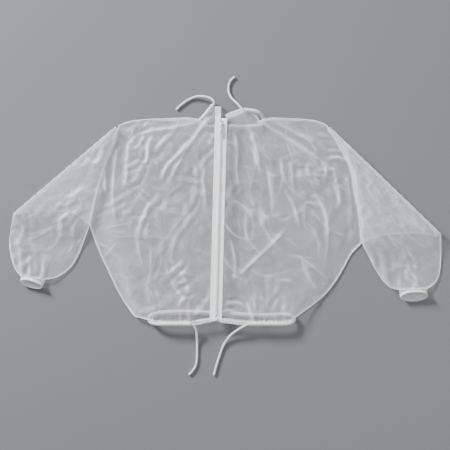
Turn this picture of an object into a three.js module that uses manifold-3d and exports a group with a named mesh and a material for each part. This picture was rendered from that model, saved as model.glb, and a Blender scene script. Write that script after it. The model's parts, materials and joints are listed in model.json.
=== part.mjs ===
// Beekeeping jacket in white see-through netting, laid flat on its back with both sleeves folded down.
// Millimetres. +Z points up out of the cloth, +Y to the collar, +X to the wearer's left.
// The origin is on the surface the jacket lies on, under the middle of the laid jacket.
import * as THREE from "three";
import Module from "manifold-3d";

const wasm = await Module();
wasm.setup();

// ---- Driving dimensions ----
const BODY_LENGTH = 588; // collar casing to hem casing
const NET = 1.2; // stand-in thickness of one layer of netting
const SEAM_GAP = 0.4; // clearance between two pieces that are sewn together
const TORSO_LOFT = 24; // top of the front panels over the surface
const SLEEVE_LOFT = 12; // top of a flat sleeve over the surface
const CORD_DIAMETER = 6;
const CORD_CLEARANCE = 0.9; // between a drawcord and its casing
const CASING_WALL = 1;
const ZIP_LENGTH = 566;
const ZIP_TILT = THREE.MathUtils.degToRad(1.54); // how far the zip lies off the Y axis
const TAPE_WIDTH = 15.1; // one tape
const TAPE_THICKNESS = 0.8;
const TAPE_LAP = 8; // tape that is sewn over the panel's edge
const COIL_WIDTH = 2.6;
const COIL_HEIGHT = 2.2;
const COIL_SLOT = 1.8; // slot between the two coils, which the slider's post runs in
const LINE_UP = 36; // from the top of the longer tape to the top of the chain
const SLIDER_LENGTH = 13;
const PULL_LENGTH = 30;
const CUFF_BAND = 10; // width of the cuff elastic
const CUFF_THICKNESS = 1.5;
const FOLD_CLEARANCE = 1; // each side of a sleeve's fold line
const SHOULDER_CLEARANCE = 10; // from the shoulder to the start of the fold
const SHOULDER_WIDTH = 8; // width of the folded forearm where its fold starts

// ---- Values that follow from them ----
const CORD_RADIUS = CORD_DIAMETER / 2;
const CASING_BORE = CORD_RADIUS + CORD_CLEARANCE;
const CASING_RADIUS = CASING_BORE + CASING_WALL;
const CASING_OFFSET = CASING_RADIUS + SEAM_GAP + 0.4; // a panel's edge to its casing's middle line
const PANEL_LEVEL = TORSO_LOFT - NET; // underside of a front panel
const CASING_HIGH = TORSO_LOFT - NET / 2; // middle line of a casing on a front panel
const CASING_LOW = NET + SEAM_GAP + CASING_RADIUS; // the same on the back panel
const SEAM_LEVEL = NET + SEAM_GAP; // underside of a top layer where it meets a bottom layer
// A height between the casings on the back panel and those on the front panels.
const turning = (share) => THREE.MathUtils.lerp(CASING_LOW, CASING_HIGH, share);
const CORNER_LEVEL = turning(0.41) + CASING_RADIUS; // front panel over a drawcord's turn
const FOLD_LEVEL = SLEEVE_LOFT + SEAM_GAP; // pivot line of a sleeve's fold
const FOREARM_LEVEL = FOLD_LEVEL + SEAM_GAP; // underside of a folded forearm
const ARMHOLE_GAP = 5 * SEAM_GAP; // between the body's panels and a sleeve
const COLLAR_Y = BODY_LENGTH / 2 - CASING_RADIUS; // middle line of the collar casing at its highest
const HEM_Y = CASING_RADIUS - BODY_LENGTH / 2; // middle line of the front hem casing

const FABRIC = { color: 0xf4f5f6, roughness: 0.85, metalness: 0 };
const netting = () => new THREE.MeshStandardMaterial({ ...FABRIC, transparent: true, opacity: 0.45 });
const tape = () => new THREE.MeshStandardMaterial({ ...FABRIC, roughness: 0.75 });
const cotton = () => new THREE.MeshStandardMaterial({ ...FABRIC, roughness: 0.95 });
const moulded = () => new THREE.MeshStandardMaterial({ ...FABRIC, roughness: 0.35 });

const jacket = new THREE.Group();
const zip = new THREE.Group();
jacket.add(zip);

function add(group, name, geometry, material) {
  const mesh = new THREE.Mesh(geometry, material);
  mesh.name = name;
  group.add(mesh);
  return mesh;
}

// ---- Curves ----
const spline = (...points) => new THREE.SplineCurve(points.map(([x, y]) => new THREE.Vector2(x, y)));

// Several curves end to end, each over an equal share of the parameter, so that corners stay sharp.
class Outline extends THREE.Curve {
  constructor(...parts) {
    super();
    this.parts = parts;
  }

  getPoint(t) {
    const share = t * this.parts.length;
    const index = Math.min(Math.floor(share), this.parts.length - 1);
    return this.parts[index].getPointAt(share - index);
  }
}

// A stretch of a longer curve, from one share of its length to another.
class Stretch extends THREE.Curve {
  constructor(whole, from, to) {
    super();
    Object.assign(this, { whole, from, to });
  }

  getPoint(t) {
    return this.whole.getPointAt(THREE.MathUtils.lerp(this.from, this.to, t));
  }
}

// ---- Cloth panels ----
// A four-sided patch between its edges: below and above run left to right, left and right run upwards.
function patch(below, above, left, right) {
  const corners = [below.getPoint(0), below.getPoint(1), above.getPoint(0), above.getPoint(1)];
  return (u, v) => {
    const point = new THREE.Vector2();
    point.addScaledVector(below.getPoint(u), 1 - v).addScaledVector(above.getPoint(u), v);
    point.addScaledVector(left.getPoint(v), 1 - u).addScaledVector(right.getPoint(v), u);
    point.addScaledVector(corners[0], -(1 - u) * (1 - v)).addScaledVector(corners[1], -u * (1 - v));
    return point.addScaledVector(corners[2], -(1 - u) * v).addScaledVector(corners[3], -u * v);
  };
}

// A closed sheet NET thick over a patch, whose underside is at level(u, v, point).
function sheet(plan, level, columns, rows) {
  const positions = [];
  const index = [];
  const at = (side, i, j) => side * (columns + 1) * (rows + 1) + j * (columns + 1) + i;
  for (const side of [0, 1])
    for (let j = 0; j <= rows; j++)
      for (let i = 0; i <= columns; i++) {
        const point = plan(i / columns, j / rows);
        positions.push(point.x, point.y, level(i / columns, j / rows, point) + side * NET);
      }
  const across = plan(0.6, 0.5).sub(plan(0.4, 0.5));
  const along = plan(0.5, 0.6).sub(plan(0.5, 0.4));
  const turned = across.cross(along) < 0;
  const quad = (a, b, c, d) => index.push(...(turned ? [a, c, b, a, d, c] : [a, b, c, a, c, d]));
  for (let j = 0; j < rows; j++)
    for (let i = 0; i < columns; i++) {
      quad(at(1, i, j), at(1, i + 1, j), at(1, i + 1, j + 1), at(1, i, j + 1));
      quad(at(0, i, j), at(0, i, j + 1), at(0, i + 1, j + 1), at(0, i + 1, j));
    }
  for (let i = 0; i < columns; i++) {
    quad(at(0, i, 0), at(0, i + 1, 0), at(1, i + 1, 0), at(1, i, 0));
    quad(at(0, i + 1, rows), at(0, i, rows), at(1, i, rows), at(1, i + 1, rows));
  }
  for (let j = 0; j < rows; j++) {
    quad(at(0, 0, j + 1), at(0, 0, j), at(1, 0, j), at(1, 0, j + 1));
    quad(at(0, columns, j), at(0, columns, j + 1), at(1, columns, j + 1), at(1, columns, j));
  }
  const geometry = new THREE.BufferGeometry();
  geometry.setAttribute("position", new THREE.Float32BufferAttribute(positions, 3));
  geometry.setIndex(index);
  geometry.computeVertexNormals();
  return geometry;
}

const rise = (value, from, to) => THREE.MathUtils.smoothstep(value, from, to);

// ---- The two sides of the lay, as the wearer has them ----
// side is the sign of X. Each place is [x, y] with x counted outwards from the middle.
const shoulderY = BODY_LENGTH / 2 - 57;
const RIGHT = {
  name: "right",
  side: -1,
  shoulder: [284, shoulderY],
  shoulderLine: [[238, shoulderY + 13], [150, shoulderY + 17], [78, shoulderY + 17]],
  neckCorner: [60, shoulderY + 8],
  armhole: [[295, 197], [321, 131], [340, 65], [355, -1]],
  armpit: [360, -28],
  sideSeam: [[343, -81], [326, -121], [307, -160], [287, -202], [264, -240], [240, HEM_Y + 19]],
  hemCorner: [197, HEM_Y + 9],
  elbow: [564, -1],
  underarm: [[406, 3], [461, 8], [512, 8], [556, 1]],
  outerForearm: [[575, -67], [570, -115], [557, -150], [545, -163]],
  innerForearm: [[382, -81], [400, -121], [421, -147], [450, -166], [484, -172]],
  cuff: { width: 62, height: 26, tilt: 50, turn: -16 },
};
const LEFT = {
  name: "left",
  side: 1,
  shoulder: [268, shoulderY],
  shoulderLine: [[231, shoulderY + 13], [165, shoulderY + 17], [108, shoulderY + 17]],
  neckCorner: [88, shoulderY + 10],
  armhole: [[294, 197], [315, 158], [334, 110], [340, 65], [352, 9]],
  armpit: [360, -76],
  sideSeam: [[343, -89], [322, -123], [303, -158], [281, -190], [252, -223], [215, HEM_Y + 39]],
  hemCorner: [172, HEM_Y + 9],
  elbow: [570, -54],
  underarm: [[400, -60], [448, -52], [512, -50], [556, -58]],
  outerForearm: [[571, -110], [566, -160], [551, -186], [534, -196]],
  innerForearm: [[371, -95], [385, -121], [399, -147], [420, -178], [440, -195], [461, -199]],
  cuff: { width: 73, height: 32, tilt: 58, turn: 3 },
};
const SIDES = [RIGHT, LEFT];
const laid = (side, points, outwards = 0) => points.map(([x, y]) => [side * (x + outwards), y]);

// ---- Zip frame: its own Y runs up the chain from the bottom end ----
const ZIP_FOOT = [-27, 12 - BODY_LENGTH / 2];
zip.position.set(...ZIP_FOOT, 0);
zip.rotation.z = -ZIP_TILT;
const zipPoint = (across, along) => [
  ZIP_FOOT[0] + across * Math.cos(ZIP_TILT) + along * Math.sin(ZIP_TILT),
  ZIP_FOOT[1] - across * Math.sin(ZIP_TILT) + along * Math.cos(ZIP_TILT),
];
const TAPE_EDGE = COIL_SLOT / 2 + TAPE_WIDTH; // outer edge of a tape from the chain's middle
const PANEL_EDGE = TAPE_EDGE - TAPE_LAP;
const TAPE_TOP = { right: ZIP_LENGTH, left: ZIP_LENGTH - 30 };
const CHAIN_TOP = ZIP_LENGTH - LINE_UP;

// ---- Drawcords: middle lines from the wearer's right exit round the back to the left exit ----
const curve3 = (points) =>
  new THREE.CatmullRomCurve3(points.map((p) => new THREE.Vector3(...p)), false, "centripetal");
const neckExits = { right: [-35, COLLAR_Y - 1, CASING_HIGH], left: [48, COLLAR_Y - 13, CASING_HIGH] };
const hemExits = { right: [-95, HEM_Y, CASING_HIGH], left: [65, HEM_Y, CASING_HIGH] };
const neckLine = curve3([
  neckExits.right,
  [-47, COLLAR_Y - 16, CASING_HIGH],
  [-59, COLLAR_Y - 30, turning(0.645)],
  [-70, COLLAR_Y - 42, turning(0.24)],
  [-63, COLLAR_Y - 52, CASING_LOW],
  [-44, COLLAR_Y - 55, CASING_LOW],
  [14, COLLAR_Y - 55, CASING_LOW],
  [72, COLLAR_Y - 55, CASING_LOW],
  [93, COLLAR_Y - 51, CASING_LOW],
  [100, COLLAR_Y - 40, turning(0.24)],
  [93, COLLAR_Y - 26, turning(0.645)],
  [81, COLLAR_Y - 18, CASING_HIGH],
  [64, COLLAR_Y - 14, CASING_HIGH],
  neckExits.left,
]);
const hemLine = curve3([
  hemExits.right,
  [-135, HEM_Y, CASING_HIGH],
  [-168, HEM_Y, turning(0.94)],
  [-186, HEM_Y + 0.5, turning(0.763)],
  [-199, HEM_Y + 5, turning(0.497)],
  [-204, HEM_Y + 13.5, turning(0.24)],
  [-198, HEM_Y + 22, turning(0.077)],
  [-184, HEM_Y + 27, CASING_LOW],
  [-165, HEM_Y + 29.5, CASING_LOW],
  [-100, HEM_Y + 31, CASING_LOW],
  [0, HEM_Y + 26, CASING_LOW],
  [100, HEM_Y + 22, CASING_LOW],
  [140, HEM_Y + 24, CASING_LOW],
  [161, HEM_Y + 23.5, CASING_LOW],
  [175, HEM_Y + 20, turning(0.077)],
  [180.5, HEM_Y + 12, turning(0.24)],
  [175, HEM_Y + 4.5, turning(0.497)],
  [162, HEM_Y + 0.5, turning(0.763)],
  [144, HEM_Y, turning(0.94)],
  [110, HEM_Y, CASING_HIGH],
  hemExits.left,
]);

// ---- Flat pieces: the back panel and the back of each upper sleeve ----
function flat(outline) {
  const shape = new THREE.Shape(outline);
  return new THREE.ExtrudeGeometry(shape, { depth: NET, bevelEnabled: false });
}

function sideCurve({ side, hemCorner, sideSeam, armpit, armhole, shoulder }) {
  const seam = spline(...laid(side, [hemCorner, ...sideSeam.toReversed(), armpit]));
  return new Outline(seam, spline(...laid(side, [armpit, ...armhole.toReversed(), shoulder])));
}

const BACK_NECK = COLLAR_Y - 61;
const BACK_HEM = { right: HEM_Y + 24, left: HEM_Y + 15 };

function backPanel() {
  const edge = ({ side, name, hemCorner, shoulderLine, neckCorner, ...rest }) => [
    new THREE.Vector2(side * (hemCorner[0] - 40), BACK_HEM[name]),
    ...sideCurve({ side, hemCorner, ...rest }).getPoints(24),
    ...spline(...laid(side, [rest.shoulder, ...shoulderLine])).getPoints(4).slice(1),
    new THREE.Vector2(side * neckCorner[0], BACK_NECK),
  ];
  add(jacket, "back_panel", flat([...edge(LEFT), ...edge(RIGHT).reverse()]), netting());
}

// ---- Front panels: high along the zip, down to the back panel at the side and shoulder seams ----
const FRONT_SLOPE = 0.24; // share of the panel's width that slopes down to the side

function frontPanel(half) {
  const { side, name, shoulder, shoulderLine, neckCorner, hemCorner } = half;
  const zipEdge = (along) => zipPoint(side * PANEL_EDGE, along);
  const neck = name === "right"
    ? [[26, COLLAR_Y - 6], [33, COLLAR_Y - 9], [47, COLLAR_Y - 25]]
    : [[28, COLLAR_Y - 26], [48, COLLAR_Y - 13 - CASING_OFFSET], [74, COLLAR_Y - 23]];
  const neckEdge = spline(zipEdge(TAPE_TOP[name] - 3), ...laid(side, [...neck, neckCorner]));
  const shoulderEdge = spline(...laid(side, [neckCorner, ...shoulderLine.toReversed(), shoulder]));
  const exitX = Math.abs(hemExits[name][0]);
  const hemTop = HEM_Y + CASING_OFFSET;
  const hemPlaces = [[exitX, hemTop], [hemCorner[0] - 30, hemTop], hemCorner];
  const hem = spline(zipEdge(5), ...laid(side, hemPlaces));
  const zipLine = new THREE.LineCurve(
    new THREE.Vector2(...zipEdge(5)),
    new THREE.Vector2(...zipEdge(TAPE_TOP[name] - 3)),
  );
  const plan = patch(hem, new Outline(neckEdge, shoulderEdge), zipLine, sideCurve(half));
  // Over the drawcord's turn at the hem, flat at the side seam, and as high as the sleeve at the armhole.
  const sideLevel = (v) => {
    const overCord = (CORNER_LEVEL - SEAM_LEVEL) * (1 - rise(v, 0, 0.16));
    const armhole = (SLEEVE_LOFT - NET - SEAM_LEVEL) * rise(v, 0.5, 0.6) * (1 - rise(v, 0.9, 1));
    return SEAM_LEVEL + overCord + armhole;
  };
  const shoulderLevel = (u) =>
    THREE.MathUtils.lerp(PANEL_LEVEL, CORNER_LEVEL, rise(u, 0.2, 0.5)) -
    (CORNER_LEVEL - SEAM_LEVEL) * rise(u, 0.5, 0.85);
  const level = (u, v) => {
    const low = sideLevel(v);
    const across = low + (PANEL_LEVEL - low) * rise(1 - u, 0, FRONT_SLOPE);
    return THREE.MathUtils.lerp(across, Math.min(across, shoulderLevel(u)), rise(v, 0.8, 1));
  };
  add(jacket, name + "_front_panel", sheet(plan, level, 12, 14), netting());
}

// ---- Sleeves ----
// The ends of the fold line from shoulder to elbow, moved inwards and cut a little short, and the narrow
// width of the forearm beside its start.
function foldLine({ shoulder, elbow }) {
  const from = new THREE.Vector2(...shoulder);
  const to = new THREE.Vector2(...elbow);
  const run = to.clone().sub(from).normalize();
  const inwards = new THREE.Vector2(run.y, -run.x);
  from.addScaledVector(run, SHOULDER_CLEARANCE).addScaledVector(inwards, FOLD_CLEARANCE);
  to.addScaledVector(run, -3 * FOLD_CLEARANCE).addScaledVector(inwards, FOLD_CLEARANCE);
  return [from, to, from.clone().addScaledVector(inwards, SHOULDER_WIDTH)].map((point) => point.toArray());
}

// The upper sleeve is a flat tube from the armhole to the fold line.
function upperSleeve(half) {
  const { side, name, armhole, armpit, underarm } = half;
  const [foldStart, foldEnd] = foldLine(half);
  const holeTop = [foldStart[0] - ARMHOLE_GAP, foldStart[1]];
  const even = (points) => new Outline(spline(...laid(side, points)));
  const hole = spline(...laid(side, [armpit, ...armhole.toReversed(), holeTop], ARMHOLE_GAP));
  const fold = even([foldStart, foldEnd]);
  const below = even([[armpit[0] + ARMHOLE_GAP, armpit[1]], ...underarm]);
  const tip = spline(...laid(side, [underarm.at(-1), foldEnd]));
  const outline = [...hole.getPoints(12), fold.getPoint(1), ...below.getPoints(8).reverse().slice(0, -1)];
  add(jacket, name + "_sleeve_upper_back", flat(outline), netting());
  const top = SLEEVE_LOFT - NET;
  const level = (u, v) => SEAM_LEVEL + (top - SEAM_LEVEL) * rise(v, 0, 0.25) * rise(1 - u, -0.2, 0.1);
  const plan = patch(below, fold, new Outline(hole), tip);
  add(jacket, name + "_sleeve_upper_front", sheet(plan, level, 8, 8), netting());
}

// The forearm is folded over the upper sleeve about the fold line and hangs down past the underarm edge.
const FOREARM_DROP = 55; // length over which the forearm comes down to the surface

function forearm(half) {
  const { side, name, armhole, armpit, elbow, outerForearm, innerForearm } = half;
  const [foldStart, foldEnd, innerStart] = foldLine(half);
  const outer = new Outline(
    spline(...laid(side, [foldStart, foldEnd])),
    spline(...laid(side, [foldEnd, ...outerForearm])),
  );
  const beside = [...armhole, armpit].map(([x, y]) => [x + 2, y]);
  const inner = new Outline(
    spline(...laid(side, [innerStart, ...beside])),
    spline(...laid(side, [beside.at(-1), ...innerForearm])),
  );
  const first = spline(...laid(side, [innerStart, foldStart]));
  const last = spline(...laid(side, [innerForearm.at(-1), outerForearm.at(-1)]));
  const plan = patch(first, last, inner, outer);
  const restLevel = (point) => {
    const share = (Math.abs(point.x) - armpit[0]) / (elbow[0] - armpit[0]);
    const past = THREE.MathUtils.lerp(armpit[1], elbow[1], THREE.MathUtils.clamp(share, 0, 1)) - point.y;
    return FOREARM_LEVEL * (1 - rise(past, 2, FOREARM_DROP));
  };
  const loft = SLEEVE_LOFT - NET;
  const crown = (u, v) => {
    const outerRim = THREE.MathUtils.lerp(1, rise(1 - u, 0, 0.2), rise(v, 0.49, 0.62));
    return SEAM_LEVEL + (loft - SEAM_LEVEL) * rise(u, 0, 0.2) * outerRim;
  };
  const front = sheet(plan, (u, v, point) => restLevel(point), 7, 14);
  const back = sheet(plan, (u, v, point) => restLevel(point) + crown(u, v), 7, 14);
  add(jacket, name + "_forearm_front", front, netting());
  add(jacket, name + "_forearm_back", back, netting());
  cuffElastic(half, last);
}

// A short oval pipe round the sleeve's mouth, whose mouth leans up by its tilt.
function cuffElastic({ name, cuff }, mouth) {
  const { width, height, tilt, turn } = cuff;
  const oval = (inset) => [width / 2 - inset, height / 2 - inset];
  const shape = new THREE.Shape().absellipse(0, 0, ...oval(0), 0, 2 * Math.PI);
  shape.holes.push(new THREE.Path().absellipse(0, 0, ...oval(CUFF_THICKNESS), 0, 2 * Math.PI));
  const options = { depth: CUFF_BAND, bevelEnabled: false, curveSegments: 14 };
  const band = new THREE.ExtrudeGeometry(shape, options);
  const mesh = add(jacket, name + "_cuff_elastic", band, cotton());
  const lean = THREE.MathUtils.degToRad(tilt);
  const middle = mouth.getPoint(0.5);
  const reach = (height / 2) * Math.sin(lean) + SEAM_GAP * 2;
  const lift = (height / 2) * Math.cos(lean) + 0.1;
  mesh.rotation.set(Math.PI / 2 - lean, 0, THREE.MathUtils.degToRad(turn), "ZXY");
  mesh.position.set(middle.x, middle.y - reach, lift);
}

// ---- Casings and drawcords ----
function tube(path, steps, radius, bore = 0) {
  const shape = new THREE.Shape().absarc(0, 0, radius, 0, 2 * Math.PI);
  if (bore) shape.holes.push(new THREE.Path().absarc(0, 0, bore, 0, 2 * Math.PI));
  return new THREE.ExtrudeGeometry(shape, { steps, extrudePath: path, curveSegments: 5 });
}

// A casing in three parts round its drawcord, which meet at the given steps, and the cord inside it.
function drawcord(name, line, steps, turns) {
  const gap = SEAM_GAP / 2 / line.getLength();
  const ends = [0, ...turns, steps];
  ["right", "back", "left"].forEach((place, i) => {
    const part = new Stretch(line, ends[i] / steps + gap, ends[i + 1] / steps - gap);
    const wall = tube(part, ends[i + 1] - ends[i], CASING_RADIUS, CASING_BORE);
    add(jacket, name + "_casing_" + place, wall, netting());
  });
  add(jacket, name + "_drawcord", tube(line, steps, CORD_RADIUS), cotton());
}

// Free ends of the drawcords, from 0.3 mm outside the casing down to the surface.
const FLOOR = CORD_RADIUS + 0.05;
const TAILS = {
  neck_cord_tail_right: [
    [-34.7, 288.4, 23.4], [-32.2, 291.6, 23.4], [-33, 299.5, 22.4], [-41, 307.5, 19.6], [-55, 312, 15],
    [-70, 314, 9.6], [-84.8, 311.6, 5.4], [-98, 306, FLOOR], [-110, 298.2, FLOOR], [-121, 290, FLOOR],
    [-133, 278.5, FLOOR],
  ],
  neck_cord_tail_left: [
    [47.6, 276.2, 23.4], [44.2, 276.9, 23.3], [38.5, 283, 22.3], [32.5, 290.5, 20],
    [25.2, 298.1, 16.5], [17, 306.6, 11.5], [11.2, 315.4, 7], [7.8, 325, 4], [6.6, 335.4, FLOOR],
    [8, 346, FLOOR], [11.9, 355.2, FLOOR], [17.6, 361.6, FLOOR], [24.4, 366.4, FLOOR],
  ],
  hem_cord_tail_right: [
    [-94.6, -289.1, 23.4], [-91, -289.3, 23.4], [-84.5, -293.5, 22.2], [-80.5, -302, 19.4],
    [-78, -313, 15], [-77, -327, 9], [-76.7, -343, 4.6], [-76.7, -361.5, FLOOR], [-77, -380, FLOOR],
    [-79, -396, FLOOR], [-84, -408.5, FLOOR], [-91.5, -418.5, FLOOR], [-99.5, -426.5, FLOOR],
  ],
  hem_cord_tail_left: [
    [64.6, -289.1, 23.4], [60, -289.4, 23.4], [50, -293.5, 22.6], [39, -300, 20.4], [28, -307.4, 17],
    [17.2, -315.4, 13], [8, -325, 9], [0, -336, 5.6], [-7, -348.5, 3.6], [-12.5, -361.7, FLOOR],
    [-17.8, -377.6, FLOOR], [-23, -393.5, FLOOR], [-27.8, -410, FLOOR], [-32.3, -428, FLOOR],
  ],
};

function cordTails() {
  for (const [name, points] of Object.entries(TAILS)) {
    const line = curve3(points);
    const steps = Math.round(line.getLength() / (2 * CORD_DIAMETER));
    add(jacket, name, tube(line, steps, CORD_RADIUS), cotton());
  }
}

// ---- Zip ----
const TAPE_BASE = TORSO_LOFT + SEAM_GAP;
const COIL_BASE = TAPE_BASE + TAPE_THICKNESS + 0.3;
const COIL_TOP = COIL_BASE + COIL_HEIGHT;
const BOX_LENGTH = 9;
const PIN_LENGTH = 15;
const COIL_START = PIN_LENGTH + 2;
const STOP_LENGTH = 4;
const SLIDER_PLATE = 1.2;
const SLIDER_HALF = COIL_SLOT / 2 + COIL_WIDTH + 1.9;
const SLIDER_REST = CHAIN_TOP - STOP_LENGTH - SLIDER_LENGTH - 1;
const PIVOT_RADIUS = 0.7;
const PIVOT_LEVEL = COIL_TOP + 0.4 + SLIDER_PLATE + 0.3 + PIVOT_RADIUS;

function rectangle(x0, y0, x1, y1) {
  const points = [[x0, y0], [x1, y0], [x1, y1], [x0, y1]].map(([x, y]) => new THREE.Vector2(x, y));
  return new THREE.Shape(points);
}

// A profile in X and Z, run along Y from start for length.
function along(profile, start, length) {
  const geometry = new THREE.ExtrudeGeometry(profile, { depth: length, bevelEnabled: false });
  return geometry.rotateX(Math.PI / 2).translate(0, start + length, 0);
}

function zipHalf({ side, name }) {
  const inner = COIL_SLOT / 2;
  const span = (a, b) => (side < 0 ? [-b, -a] : [a, b]);
  const bar = (a, b, low, high, start, length) => {
    const [x0, x1] = span(a, b);
    return along(rectangle(x0, low, x1, high), start, length);
  };
  const tapeTop = TAPE_BASE + TAPE_THICKNESS;
  const [t0, t1] = span(inner, TAPE_EDGE);
  const strip = along(rectangle(t0, TAPE_BASE, t1, tapeTop), 0, TAPE_TOP[name]);
  add(zip, "zip_tape_" + name, strip, tape());
  const coilLength = CHAIN_TOP - STOP_LENGTH - COIL_START;
  const coil = bar(inner, inner + COIL_WIDTH, COIL_BASE, COIL_TOP, COIL_START, coilLength);
  add(zip, "zip_coil_" + name, coil, moulded());
  const stop = bar(inner, inner + 3, COIL_BASE, COIL_TOP + 0.8, CHAIN_TOP - STOP_LENGTH + 0.3, STOP_LENGTH);
  add(zip, "zip_top_stop_" + name, stop, moulded());
}

function zipEnd() {
  const pin = along(rectangle(-3, COIL_BASE, -1.2, COIL_BASE + 1.8), 1.5, PIN_LENGTH);
  add(zip, "zip_pin", pin, moulded());
  const box = new THREE.Shape([
    [-4.8, COIL_BASE], [-3.6, COIL_BASE], [-3.6, COIL_BASE + 2.4], [-0.6, COIL_BASE + 2.4],
    [-0.6, COIL_BASE], [4.8, COIL_BASE], [4.8, COIL_BASE + 3.4], [-4.8, COIL_BASE + 3.4],
  ].map(([x, z]) => new THREE.Vector2(x, z)));
  add(zip, "zip_retainer_box", along(box, 0.5, BOX_LENGTH), moulded());
}

function toSolid(geometry) {
  const at = geometry.getAttribute("position");
  const keys = new Map();
  const vertices = [];
  const triangles = [];
  const count = geometry.index ? geometry.index.count : at.count;
  for (let k = 0; k < count; k++) {
    const i = geometry.index ? geometry.index.getX(k) : k;
    const place = [at.getX(i), at.getY(i), at.getZ(i)];
    const key = place.map((value) => value.toFixed(4)).join();
    if (!keys.has(key)) {
      keys.set(key, keys.size);
      vertices.push(...place);
    }
    triangles.push(keys.get(key));
  }
  return new wasm.Manifold(new wasm.Mesh({
    numProp: 3,
    vertProperties: new Float32Array(vertices),
    triVerts: new Uint32Array(triangles),
  }));
}

function toGeometry(solid) {
  const { vertProperties, triVerts } = solid.getMesh();
  const geometry = new THREE.BufferGeometry();
  geometry.setAttribute("position", new THREE.BufferAttribute(new Float32Array(vertProperties), 3));
  geometry.setIndex(new THREE.BufferAttribute(new Uint32Array(triVerts), 1));
  return geometry;
}

// Two plates joined by a post between the coils, with flanges outside the coils and a crown for the pull.
function slider() {
  const half = SLIDER_HALF;
  const flange = half - 1.2;
  const post = COIL_SLOT / 2 - 0.4;
  const under = TAPE_BASE - 0.4;
  const over = COIL_TOP + 0.4;
  const profile = new THREE.Shape([
    [-half, under - SLIDER_PLATE], [half, under - SLIDER_PLATE], [half, under], [post, under],
    [post, over], [flange, over], [flange, COIL_BASE + 0.1], [half, COIL_BASE + 0.1],
    [half, over + SLIDER_PLATE], [-half, over + SLIDER_PLATE], [-half, COIL_BASE + 0.1],
    [-flange, COIL_BASE + 0.1], [-flange, over], [-post, over], [-post, under], [-half, under],
  ].map(([x, z]) => new THREE.Vector2(x, z)));
  const crown = new THREE.Shape();
  const top = over + SLIDER_PLATE;
  crown.moveTo(-4.5, top - 0.5).lineTo(-4.5, top + 2.2).lineTo(-3.2, top + 3.4).lineTo(3.2, top + 3.4);
  crown.lineTo(4.5, top + 2.2).lineTo(4.5, top - 0.5).lineTo(3.2, top - 0.5).lineTo(3.2, top + 2.2);
  crown.lineTo(-3.2, top + 2.2).lineTo(-3.2, top - 0.5).closePath();
  const arch = new THREE.ExtrudeGeometry(crown, { depth: 1.8, bevelEnabled: false });
  arch.translate(0, 0, -0.9).rotateY(Math.PI / 2).rotateX(Math.PI / 2).translate(0, SLIDER_LENGTH / 2, 0);
  const body = toSolid(along(profile, 0, SLIDER_LENGTH)).add(toSolid(arch));
  const mesh = add(zip, "zip_slider", toGeometry(body), moulded());
  mesh.position.y = SLIDER_REST;
}

// A flat tab with a slot at its root that the crown passes through.
function pullTab() {
  const outline = new THREE.Shape();
  outline.moveTo(-3.2, PIVOT_RADIUS).lineTo(3.2, PIVOT_RADIUS).lineTo(3.2, -10);
  outline.lineTo(3.8, 4 - PULL_LENGTH);
  outline.absarc(0, 4 - PULL_LENGTH, 3.8, 0, Math.PI, true).closePath();
  outline.holes.push(rectangle(-1.5, -8.4, 1.5, -PIVOT_RADIUS));
  const eye = new THREE.Path().absarc(0, 4.4 - PULL_LENGTH, 1.6, 0, 2 * Math.PI);
  outline.holes.push(eye);
  const options = { depth: 2 * PIVOT_RADIUS, bevelEnabled: false, curveSegments: 8 };
  const tab = new THREE.ExtrudeGeometry(outline, options).translate(0, 0, -PIVOT_RADIUS);
  const mesh = add(zip, "zip_pull_tab", tab, moulded());
  mesh.position.set(0, SLIDER_REST + SLIDER_LENGTH / 2, PIVOT_LEVEL);
}

// ---- Assembly ----
backPanel();
for (const half of SIDES) {
  frontPanel(half);
  upperSleeve(half);
  forearm(half);
  zipHalf(half);
}
drawcord("neck", neckLine, 40, [8, 32]);
drawcord("hem", hemLine, 64, [12, 52]);
cordTails();
zipEnd();
slider();
pullTab();

export default jacket;
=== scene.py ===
import json
import math

import bmesh
import bpy
import numpy as np
from bpy.props import FloatProperty, FloatVectorProperty, IntProperty, PointerProperty
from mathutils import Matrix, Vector, geometry
from mathutils.bvhtree import BVHTree


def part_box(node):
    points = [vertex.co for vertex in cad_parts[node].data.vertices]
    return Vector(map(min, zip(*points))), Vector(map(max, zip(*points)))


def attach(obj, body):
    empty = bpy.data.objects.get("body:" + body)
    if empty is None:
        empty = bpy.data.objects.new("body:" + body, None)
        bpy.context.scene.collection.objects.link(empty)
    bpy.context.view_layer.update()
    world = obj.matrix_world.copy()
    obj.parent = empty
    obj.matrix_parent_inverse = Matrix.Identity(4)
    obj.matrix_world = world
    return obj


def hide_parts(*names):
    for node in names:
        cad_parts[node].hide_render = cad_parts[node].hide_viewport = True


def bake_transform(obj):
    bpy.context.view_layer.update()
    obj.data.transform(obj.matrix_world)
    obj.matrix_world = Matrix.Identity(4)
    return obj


bl_info = {
    "name": "Beekeeping jacket",
    "version": (1, 0, 0),
    "blender": (4, 5, 0),
    "location": "3D View > Sidebar > Jacket",
    "description": "Makes a netting beekeeping jacket, laid flat, round its packed frame",
    "category": "Object",
}

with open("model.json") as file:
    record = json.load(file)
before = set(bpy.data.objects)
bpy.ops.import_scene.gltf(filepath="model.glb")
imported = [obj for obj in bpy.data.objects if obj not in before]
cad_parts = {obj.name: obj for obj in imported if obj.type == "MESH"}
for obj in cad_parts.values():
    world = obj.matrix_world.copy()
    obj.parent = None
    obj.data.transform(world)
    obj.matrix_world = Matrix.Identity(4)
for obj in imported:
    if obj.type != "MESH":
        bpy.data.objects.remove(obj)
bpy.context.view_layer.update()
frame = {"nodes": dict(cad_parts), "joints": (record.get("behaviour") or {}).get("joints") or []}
JOINTS = {joint["name"]: joint for joint in frame["joints"]}
SIDES = {"right": -1.0, "left": 1.0}
MM = 0.001

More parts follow.
